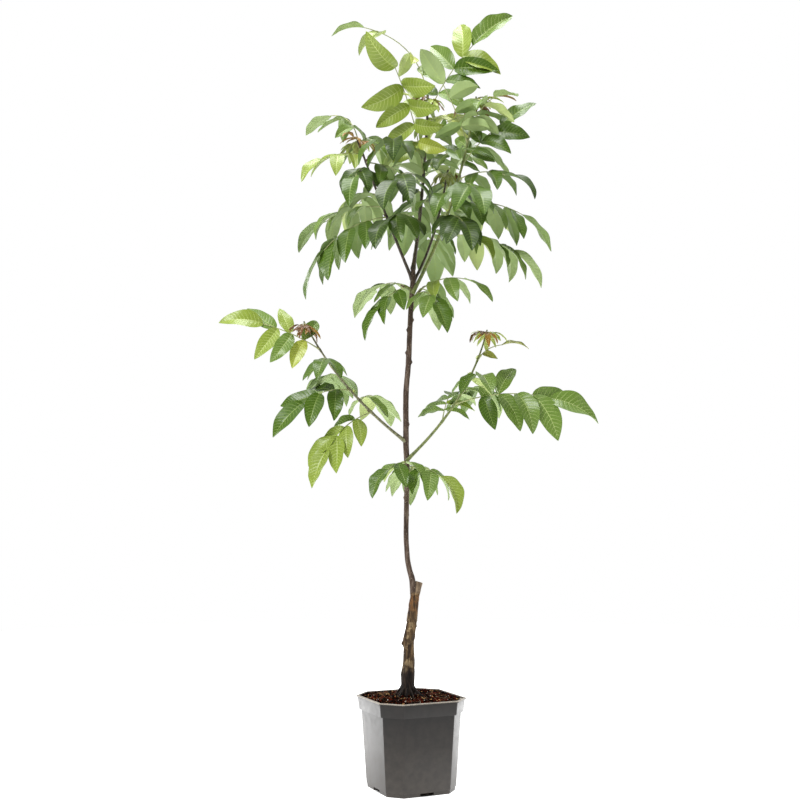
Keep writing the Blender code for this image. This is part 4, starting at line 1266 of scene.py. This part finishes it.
# Shoots inside the crown take the dark bark, as painted shade
SHOOT_KINDS = {
    "left_foliage": "dark", "top_foliage": "dark", "back_foliage": "dark",
    "right_foliage": "green", "low_left_foliage": "grey", "low_right_foliage": "green",
    "fork_left_foliage": "green", "fork_right_foliage": "green", "under_foliage": "green",
}
print("bark for shoots:", ", ".join(shoot_barks))

# %% Model the boughs
SHOOT_SIDES, SHOOT_STEP = 16, 0.0030
COLLAR_SWELL, COLLAR_START, COLLAR_REACH = 0.0016, 0.006, 0.010
NODE_SWELL, NODE_REACH = 0.0007, 0.0045
# Bough and stem run into each other by this share of the shoot
OVERLAP = 0.01


def shoot_path(shoot, start, end):
    """Points and radii of a shoot, swollen where it leaves the trunk and where leaves sit."""
    length = (Vector(shoot.tip) - Vector(shoot.base)).length
    count = max(6, round(length * (end - start) / SHOOT_STEP))
    path = []
    for k in range(count + 1):
        share = start + (end - start) * k / count
        radius = thickness(shoot, share) / 2
        radius += COLLAR_SWELL * math.exp(-max(0.0, share * length - COLLAR_START) / COLLAR_REACH)
        for row in LEAVES[shoot.foliage]:
            gap = (share - row[0]) * length / NODE_REACH
            radius += NODE_SWELL * math.exp(-gap * gap)
        path.append((curve_point(shoot, share), radius))
    return path


for shoot in SHOOTS:
    bough = bmesh.new()
    rolled(bough, tube_rings(shoot_path(shoot, 0.0, shoot.split + OVERLAP), SHOOT_SIDES))
    finish = shoot_barks[SHOOT_KINDS[shoot.foliage]]
    add_piece(shoot.bough + "_bark", bough, [finish], "young_bark", shoot.bough)

# %% [markdown]
# ## One leaflet
# A walnut leaflet is an oval blade with a pale midrib and about eleven pale side veins each way,
# which lean forward as they run to the edge. The blade is pillowed between the veins, folded up a
# little from the midrib, and arched along its length. A flat card with a leaf's picture would be
# lighter but looks flat from the side. Here a grid holds all that: every vein has a thin strip of
# faces of its own, the strips are sheared forward as the grid is laid out, and solidify gives the
# sheet its underside. The grid is made once and laid out anew per leaflet, so that no two
# leaflets are bent alike.

# %% Leaflet blade
VEINS = 11
FIRST_VEIN, LAST_VEIN = 0.06, 0.92
VEIN_HALF, VEIN_TAPER = 0.0060, 0.88
# Columns across the blade in shares of its half width, with the midrib between the middle two
ACROSS = (-1.0, -0.76, -0.46, -0.18, -0.034, 0.034, 0.18, 0.46, 0.76, 1.0)
YOUNG_VEINS, YOUNG_ACROSS = 4, (-1.0, -0.55, -0.06, 0.06, 0.55, 1.0)
# Rows before the first vein and after the last, in shares of the length
BASE_MARKS, TIP_MARKS = [0.0, 0.018, 0.045], [0.955, 0.982, 1.0]
BLADE, VEIN, UNDER = 0, 1, 2


def blade_grid(veins, across):
    """A leaflet's closed sheet as shares of its length and width, with vein strips marked."""
    spacing = (LAST_VEIN - FIRST_VEIN) / veins
    marks, strips = list(BASE_MARKS), [BLADE, BLADE]
    for n in range(veins):
        middle = FIRST_VEIN + spacing * (n + 0.5)
        marks += [middle - VEIN_HALF, middle + VEIN_HALF]
        strips += [BLADE, VEIN]
        if n < veins - 1:
            marks.append(middle + spacing / 2)
            strips.append(BLADE)
    marks += TIP_MARKS
    strips += [BLADE, BLADE, BLADE]
    body = bmesh.new()
    rows, columns = len(marks) - 1, len(across) - 1
    bmesh.ops.create_grid(body, x_segments=rows, y_segments=columns, size=1)
    for face in body.faces:
        middle = face.calc_center_median()
        row = int((middle.x + 1) / 2 * rows)
        column = int((middle.y + 1) / 2 * columns)
        midrib = column == columns // 2
        face.material_index = VEIN if midrib or strips[row] == VEIN else BLADE
    for vert in body.verts:
        row = round((vert.co.x + 1) / 2 * rows)
        column = round((vert.co.y + 1) / 2 * columns)
        share, out = marks[row], abs(across[column])
        # Side veins get thinner on their way to the edge
        for side, step in ((row, 1), (row - 1, -1)):
            if side in range(rows) and strips[side] == VEIN:
                share += step * VEIN_HALF * VEIN_TAPER * out
        vert.co = Vector((share, across[column], 0))
    bmesh.ops.solidify(body, geom=body.faces[:], thickness=1.0)
    for face in body.faces:
        below = all(vert.co.z < -0.5 for vert in face.verts)
        if below and face.material_index == BLADE:
            face.material_index = UNDER
    mesh = bpy.data.meshes.new("leaflet_blade")
    body.to_mesh(mesh)
    body.free()
    return mesh


leaflet_blade = blade_grid(VEINS, ACROSS)
young_blade = blade_grid(YOUNG_VEINS, YOUNG_ACROSS)
print("leaflet has", len(leaflet_blade.polygons), "faces, young leaflet",
      len(young_blade.polygons))

# %% Lay out a leaflet
# How far forward the veins lean at the blade's edge, and how straight they start
SHEAR, SHEAR_START = 0.16, 0.6
BLADE_THICK, MIDRIB_THICK = 0.00045, 0.0007
# The midrib is the part of the blade inside this share of its half width
MIDRIB_SHARE, EDGE_SHARE = 0.05, 0.99
# The pillows between the veins, on a leaflet of this length
QUILT, QUILT_LENGTH = 0.0007, 0.09
# Each leaflet's own shape: arch, fold and twist in radians, ripples and sideways curve as shares
# of its length, and how many ripples run along its edge
BEND, FOLD, TWIST = (0.30, 1.25), (0.12, 0.55), 0.36
WAVE, WAVE_TURNS, CURVE = (0.008, 0.022), (1.6, 3.0), 0.05
# The twist is nothing at this share of the length, and the two edges ripple out of step
TWIST_FROM, EDGE_SHIFT = 0.4, 2.1
# Even the base and the tip are a little wide, the base more than the tip
BASE_HALF, HALF_LOSS = 0.0009, 0.0006
# The outline rises from the base with the first power and falls to the tip with the second
BASE_POWER, TIP_POWER = 0.66, 0.94
WIDEST = BASE_POWER / (BASE_POWER + TIP_POWER)


def half_width(share, wide):
    """Half the blade's width at a share of its length: oval, broadest below the middle."""
    share = min(max(share, 0.0), 1.0)
    oval = share**BASE_POWER * (1 - share) ** TIP_POWER
    return wide * oval / (WIDEST**BASE_POWER * (1 - WIDEST) ** TIP_POWER)


def lay_leaflet(body, grid, plan, width, first_slot, rng):
    """Lay the grid out as one leaflet of the plan, bent in its own way."""
    root, along, face, length = plan
    side = along.cross(face).normalized()
    face = side.cross(along)
    bend = rng.uniform(*BEND)
    fold = rng.uniform(*FOLD)
    twist = rng.gauss(0, TWIST)
    wave = rng.uniform(*WAVE) * length
    turns = rng.uniform(*WAVE_TURNS)
    phase = rng.uniform(0, 2 * math.pi)
    curve = rng.uniform(-CURVE, CURVE) * length
    quilt = QUILT * length / QUILT_LENGTH
    arc = length / (2 * math.sin(bend / 2))
    drop = math.cos(bend / 2)
    start = len(body.verts)
    body.from_mesh(grid)
    made = body.verts[start:]
    for vert in made:
        s, v, w = vert.co
        wing = abs(v)
        lead = SHEAR * wing * (SHEAR_START + (1 - SHEAR_START) * wing)
        u = s + lead * 4 * s * (1 - s)
        half = half_width(u, width) + BASE_HALF - HALF_LOSS * u
        angle = bend * (u - 0.5)
        sine, cosine = math.sin(angle), math.cos(angle)
        normal = face * cosine + along * sine
        lean = twist * (u - TWIST_FROM)
        out = side * math.cos(lean) + normal * math.sin(lean)
        top = normal * math.cos(lean) - side * math.sin(lean)
        swing = phase + turns * 2 * math.pi * u + (v > 0) * EDGE_SHIFT
        ripple = wave * wing * wing * math.sin(swing)
        lift = fold * wing * half + ripple * min(1.0, half / width * 1.4)
        if MIDRIB_SHARE < wing < EDGE_SHARE and FIRST_VEIN < s < LAST_VEIN:
            row = (s - FIRST_VEIN) / (LAST_VEIN - FIRST_VEIN) * VEINS
            lift += quilt * math.cos(math.pi * row) ** 2
        thick = BLADE_THICK
        if wing < MIDRIB_SHARE:
            thick += MIDRIB_THICK * (1 - 0.6 * u)
        place = root + along * (length / 2 + arc * sine) + face * (arc * (cosine - drop))
        bow = side * (curve * 4 * u * (1 - u))
        vert.co = place + bow + out * (v * half) + top * (lift + w * thick)
    for polygon in {polygon for vert in made for polygon in vert.link_faces}:
        polygon.material_index += first_slot


print("leaflets are widest at", round(WIDEST, 2), "of their length")

# %% [markdown]
# ## Leaf colours
# The leaves are painted deep green inside the crown, as painted shade, a fresh green where they are
# younger, and yellow-green at the top, as painted light where light falls on them and comes through
# them. Each leaf takes one of five tints, and some of its leaflets the next one, so the crown looks
# mottled the way a real one does. Each tint has three plain colours, for blade, veins and
# underside. One colour that noise varies would tint places and not leaves, so each tint is a
# material of its own. The upper side is a little glossy, and a fine bump keeps its highlights soft.

# %% Leaf finishes
TINTS = (
    # blade, veins, underside
    # The tints run from painted shade inside the crown to painted light at its top
    ("deep", "#2f450d", "#6a803f", "#6c824b"),
    ("mid", "#476318", "#7d924b", "#7b9254"),
    ("fresh", "#657f35", "#9aac68", "#93a76c"),
    ("bright", "#83963a", "#b0be70", "#a8b774"),
    ("yellow", "#9eaa40", "#c3cb76", "#b5c06a"),
)
# Walnut leaves open bronze, from a red pigment that they lose as they grow
YOUNG_TINTS = (
    ("bronze", "#61401d", "#8f6a3a", "#70502c"),
    ("amber", "#8f6a28", "#b08b48", "#907038"),
    ("olive", "#7a8034", "#a5a85c", "#8b8f4a"),
    ("lime", "#8fa03c", "#b4c06a", "#a2af5c"),
)
# A waxy upper side, matter veins, and a dull underside
LEAF_PARTS = (("blade", 0.32), ("veins", 0.42), ("underside", 0.60))
LEAF_GRAIN = 0.0060


def leaf_materials(kind, tints):
    """Three plain colours for each tint: blade, veins and underside."""
    made = []
    for tint, *colours in tints:
        for (part, rough), colour in zip(LEAF_PARTS, colours):
            leaf, tree, shader = new_material(f"{kind}_{tint}_{part}")
            place = add_node(tree, "ShaderNodeTexCoord").outputs["Object"]
            cells = add_node(tree, "ShaderNodeTexNoise", {"Vector": place, "Scale": 1 / LEAF_GRAIN,
                                                         "Detail": 1.0})
            relief = add_node(tree, "ShaderNodeBump", {"Height": cells.outputs["Fac"],
                                                      "Strength": 0.30, "Distance": 0.0004})
            tree.links.new(relief.outputs["Normal"], shader.inputs["Normal"])
            shader.inputs["Base Color"].default_value = linear(colour)
            shader.inputs["Roughness"].default_value = rough
            shader.inputs["Specular IOR Level"].default_value = 0.36
            made.append(leaf)
    return made


walnut_leaf = leaf_materials("walnut_leaf", TINTS)
young_leaf = leaf_materials("young_walnut_leaf", YOUNG_TINTS)
# Stalks are downy, which takes away their gloss, and bud scales are dry and brown
DOWN_WIDTH = 0.010
stalk_green, tree, shader = new_material("walnut_leaf_stalk_downy")
place = add_node(tree, "ShaderNodeTexCoord").outputs["Object"]
hairs = add_node(tree, "ShaderNodeTexNoise", {"Vector": place, "Scale": 1 / DOWN_WIDTH})
down = add_node(tree, "ShaderNodeValToRGB", {"Fac": hairs.outputs["Fac"]},
                stops=((0.35, "#7c8550"), (0.65, "#a3a873")))
tree.links.new(down.outputs["Color"], shader.inputs["Base Color"])
shader.inputs["Roughness"].default_value = 0.6
bud_brown, tree, shader = new_material("walnut_bud_scales_brown")
shader.inputs["Base Color"].default_value = linear("#5d4a35")
shader.inputs["Roughness"].default_value = 0.7
print(len(walnut_leaf) + len(young_leaf), "leaf materials")

# %% [markdown]
# ## Which leaflets grow
# A leaflet stays out where the solid has none, because there it would grow through the trunk or a
# neighbour. The list of those could be kept by hand, but it would be wrong after any change, so
# each leaflet is tested: does the solid's surface run through the middle of its blade?

# %% Compare with the solids
# Two sections of a leaflet: place, width and lift, as shares of its length, width and camber
LEAFLET_SECTIONS = ((0.34, 0.94, 0.85), (0.66, 0.80, 0.90))
# Points across a section, as shares of its half width, and how many of all have to lie this near
TESTED_ACROSS, LEAST_FOUND, NEAR_SOLID = (-0.9, 0.0, 0.9), 5, 0.0016


def solid_tree(name):
    """A search tree of a node's faces."""
    body = bmesh.new()
    body.from_mesh(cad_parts[name].data)
    tree = BVHTree.FromBMesh(body)
    body.free()
    return tree


def is_in_solid(tree, plan):
    """Whether a leaflet of the plan is among the solid's leaflets."""
    root, along, face, length = plan
    side = along.cross(face).normalized()
    face = side.cross(along)
    half = LEAFLET_WIDTH * length / 2
    found = 0
    for share, wide, lift in LEAFLET_SECTIONS:
        centre = root + along * length * share + face * length * CAMBER * lift
        for across in TESTED_ACROSS:
            gap = tree.find_nearest(centre + side * across * half * wide)[3]
            found += gap < NEAR_SOLID
    return found >= LEAST_FOUND


solids = {shoot.foliage: solid_tree(shoot.foliage) for shoot in SHOOTS + SPURS}
print("search trees of", len(solids), "solids")

# %% [markdown]
# ## Stalks and buds
# A leaf stalk is round and thin, with a swollen foot where it will break off in autumn, and a
# small pointed bud sits in the angle above it. Both are tubes rolled along a few rings, like the
# shoots, so they share the piece of their stem.

# %% Stalks and buds
STEM, STALK, BUD = 0, 1, 2
TWIG_SIDES, TWIG_STEPS = 8, 14
STALK_FOOT, FOOT_FADE = 0.0011, 22
BUD_LENGTH, BUD_RADIUS = 0.0070, 0.0019
BUD_RINGS = ((-0.2, 0.5), (0.1, 0.95), (0.35, 1.0), (0.65, 0.66), (0.88, 0.3), (1.0, 0.08))
# A bud stands this far out in the angle, and leans more along the shoot than along the stalk
BUD_OUT, BUD_SPREAD, BUD_LEAN = 0.0026, 0.6, 1.4
# The shoot's direction is read over this share of its length
LOOK_AHEAD = 0.05


def tube(body, path, sides, slot):
    """A closed tube along a path, in one of the piece's materials."""
    made = rolled(body, tube_rings(path, sides))
    for face in {face for vert in made for face in vert.link_faces}:
        face.material_index = slot


def grow_stalk(twigs, shoot, leaf, stalk):
    """A leaf's stalk with the bud above its foot, and the height at which it ends."""
    path = []
    for k in range(TWIG_STEPS + 1):
        share = k / TWIG_STEPS
        radius = thickness(stalk, share) / 2 + STALK_FOOT * math.exp(-share * FOOT_FADE)
        path.append((curve_point(stalk, share), radius))
    tube(twigs, path, TWIG_SIDES, STALK)
    foot = path[0][0]
    outward = (path[2][0] - foot).normalized()
    upward = (curve_point(shoot, min(1.0, leaf.along + LOOK_AHEAD)) - foot).normalized()
    lean = (outward + upward * BUD_LEAN).normalized()
    root = foot + (outward * BUD_SPREAD + upward) * BUD_OUT
    rings = [(root + lean * BUD_LENGTH * share, BUD_RADIUS * swell) for share, swell in BUD_RINGS]
    tube(twigs, rings, TWIG_SIDES, BUD)
    return path[-1][0].z


print("buds", BUD_LENGTH, "long on stalks", STALK_THICK, "thick")

# %% [markdown]
# ## Leaves in their tints
# Light comes from above, so a real crown is palest at the top and at the ends of its shoots, and
# deepest inside. Painting each leaf by hand would do it, but a score does it by rule: it rises
# with height and along the shoot, and chance moves it up or down a tint.

# %% Grow leaves
# Painted light: how much lighter than the crown's inside each low foliage is, in steps of tint
PAINTED_LIGHT_STEPS = {
    "low_left_foliage": 1.55, "low_right_foliage": 1.45, "under_foliage": 1.10,
    "fork_left_foliage": 1.30, "fork_right_foliage": 1.30,
}
# The score inside the crown, what height adds to it and by which power, and from where to where
SCORE_LOW, SCORE_RISE, RISE_POWER = 0.50, 2.5, 1.8
RISE_FROM, RISE_REACH = 1.05, 0.60
# What the place on the shoot adds, from which share on, and how much chance moves the score
SCORE_ALONG, ALONG_FROM, SCORE_CHANCE = 1.2, 0.45, 0.70
# The steps of tint that single leaflets are moved by, each as likely as it is listed often
LEAFLET_STEPS = (0, 0, 0, 0, 1, -1)
LEAST_WIDTH = 0.88
# A leaf shorter than this is one of the newest: narrower, and in one of these young tints
NEWEST, NEWEST_WIDTH, NEWEST_TINTS = 0.07, 0.8, (1, 2, 3)
PARTS = len(LEAF_PARTS)


def light_and_shade_tint(name, along, height, look):
    """The tint of one leaf: painted shade low and inside, painted light at the top and at a shoot's
    tip.
    """
    rise = max(0.0, (height - RISE_FROM) / RISE_REACH)
    score = SCORE_LOW + SCORE_RISE * rise**RISE_POWER
    score += SCORE_ALONG * max(0.0, along - ALONG_FROM)
    score += PAINTED_LIGHT_STEPS.get(name, 0.0)
    return held(round(score + look.gauss(0, SCORE_CHANCE)))


def held(tint):
    """A tint's number, kept among those there are."""
    return min(len(TINTS) - 1, max(0, tint))


def grow_leaflets(leaves, young, name, leaf, height, rows, look):
    """A leaf's leaflets in its tint. The newest leaves join the young ones."""
    tint = light_and_shade_tint(name, leaf.along, height, look)
    for plan in rows:
        slot = PARTS * held(tint + look.choice(LEAFLET_STEPS))
        width = LEAFLET_WIDTH * plan[3] / 2 * look.uniform(LEAST_WIDTH, 1.0)
        if leaf.length < NEWEST:
            slot = PARTS * look.choice(NEWEST_TINTS)
            lay_leaflet(young, leaflet_blade, plan, width * NEWEST_WIDTH, slot, look)
        else:
            lay_leaflet(leaves, leaflet_blade, plan, width, slot, look)


print("tints from", TINTS[0][0], "to", TINTS[-1][0])

# %% [markdown]
# ## Young tufts
# At each shoot's tip the newest leaves hang folded and bronze, five narrow leaflets to a stalk,
# and a few buds along the low shoots have just opened. They are too small for veins of their own,
# so they take the coarser grid and tints of their own.

# %% Grow young tufts
# Leaflets of a young leaf: place on its stalk, degrees that they turn out, and size
YOUNG_LEAF = ((0.45, 62, 0.55), (0.45, -62, 0.55), (0.8, 48, 0.75), (0.8, -48, 0.75), (1.0, 0, 1.0))
YOUNG_TURN, YOUNG_SINK = 6, (0.25, 1.10)
YOUNG_STALK, YOUNG_LENGTH, YOUNG_HALF = 0.42, 0.95, 0.115
# Each tuft's tints are dealt from bronze to lime, with amber twice as likely
TUFT_TINTS = (0, 1, 1, 2, 3)
YOUNG_STALK_RADII, YOUNG_STALK_SIDES = (0.0009, 0.0007, 0.0005), 6
# Buds that have just opened along a shoot: place, leaflets, and their length
SIDE_TUFTS = {
    "low_left_foliage": ((0.64, 9, 0.020), (0.44, 4, 0.012)),
    "low_right_foliage": ((0.66, 4, 0.015),),
    "left_foliage": ((0.76, 5, 0.016),),
    "right_foliage": ((0.45, 5, 0.014),),
}
SIDE_SPREAD, SIDE_SIZES, SIDE_HALF, SIDE_TINT = 0.8, (0.7, 1.0), 0.16, 3


def grow_tuft(twigs, young, rows, look):
    """A shoot's newest leaves: each a short stalk with hanging narrow leaflets."""
    for root, along, face, length in rows:
        slot = PARTS * look.choice(TUFT_TINTS)
        tip = root + along * length * YOUNG_STALK
        for share, turn, size in YOUNG_LEAF:
            out = Quaternion(face, math.radians(turn + look.gauss(0, YOUNG_TURN))) @ along
            sink = Vector((0, 0, -look.uniform(*YOUNG_SINK)))
            plan = (root.lerp(tip, share), (out + sink).normalized(), face,
                    length * YOUNG_LENGTH * size)
            lay_leaflet(young, young_blade, plan, length * YOUNG_HALF * size, slot, look)
        path = [(root.lerp(tip, k / 2), radius) for k, radius in enumerate(YOUNG_STALK_RADII)]
        tube(twigs, path, YOUNG_STALK_SIDES, STALK)


def grow_side_tufts(young, shoot, look):
    """The just opened buds along a shoot, each a small star of leaflets."""
    for along, count, size in SIDE_TUFTS.get(shoot.foliage, ()):
        root = curve_point(shoot, along)
        for k in range(count):
            turn = math.radians(GOLDEN_ANGLE * k)
            out = Vector((math.cos(turn) * SIDE_SPREAD, math.sin(turn) * SIDE_SPREAD, 1.0))
            out.normalize()
            face = lasting(Vector((0, 0, 1)) - out * out.z, Vector((1, 0, 0)))
            plan = (root, out, face, size * look.uniform(*SIDE_SIZES))
            lay_leaflet(young, young_blade, plan, size * SIDE_HALF, PARTS * SIDE_TINT, look)


print("just opened buds on", len(SIDE_TUFTS), "shoots")

# %% [markdown]
# ## Foliage
# Each mass of foliage grows in one pass into up to three pieces: stem, stalks and buds in the
# first, grown leaflets in the second, and young leaves in the third. Three pieces and not a
# thousand keep the scene quick, and each still stands for the one solid that it replaces.

# %% Grow the foliage
total = 0
for shoot in SHOOTS + SPURS:
    name = shoot.foliage
    rng, look = random.Random(name), random.Random(name + " look")
    plans = []
    for row in LEAVES[name]:
        leaf = Leaf(*row)
        plans.append((leaf, *leaf_plan(leaf, curve_point(shoot, leaf.along), rng)))
    tuft = tuft_plan(shoot, rng) if shoot.bough else []
    twigs, leaves, young = bmesh.new(), bmesh.new(), bmesh.new()
    start = max(0.0, shoot.split - OVERLAP)
    tube(twigs, shoot_path(shoot, start, 1.0), SHOOT_SIDES, STEM)
    kept = 0
    for leaf, stalk, rows in plans:
        inside = [plan for plan in rows if is_in_solid(solids[name], plan)]
        kept += len(inside)
        if inside:
            height = grow_stalk(twigs, shoot, leaf, stalk)
            grow_leaflets(leaves, young, name, leaf, height, inside, look)
    grow_tuft(twigs, young, tuft, look)
    grow_side_tufts(young, shoot, look)
    bark = shoot_barks[SHOOT_KINDS[name]]
    add_piece(name + "_twigs", twigs, [bark, stalk_green, bud_brown], "young_bark", name)
    add_piece(name + "_leaflets", leaves, walnut_leaf, "walnut_leaf", name, sharp=75)
    if tuft:
        add_piece(name + "_young", young, young_leaf, "walnut_leaf", name, sharp=75)
    else:
        young.free()
    total += kept
    print(name, "grew", kept, "leaflets")
print("leaflets in all", total)
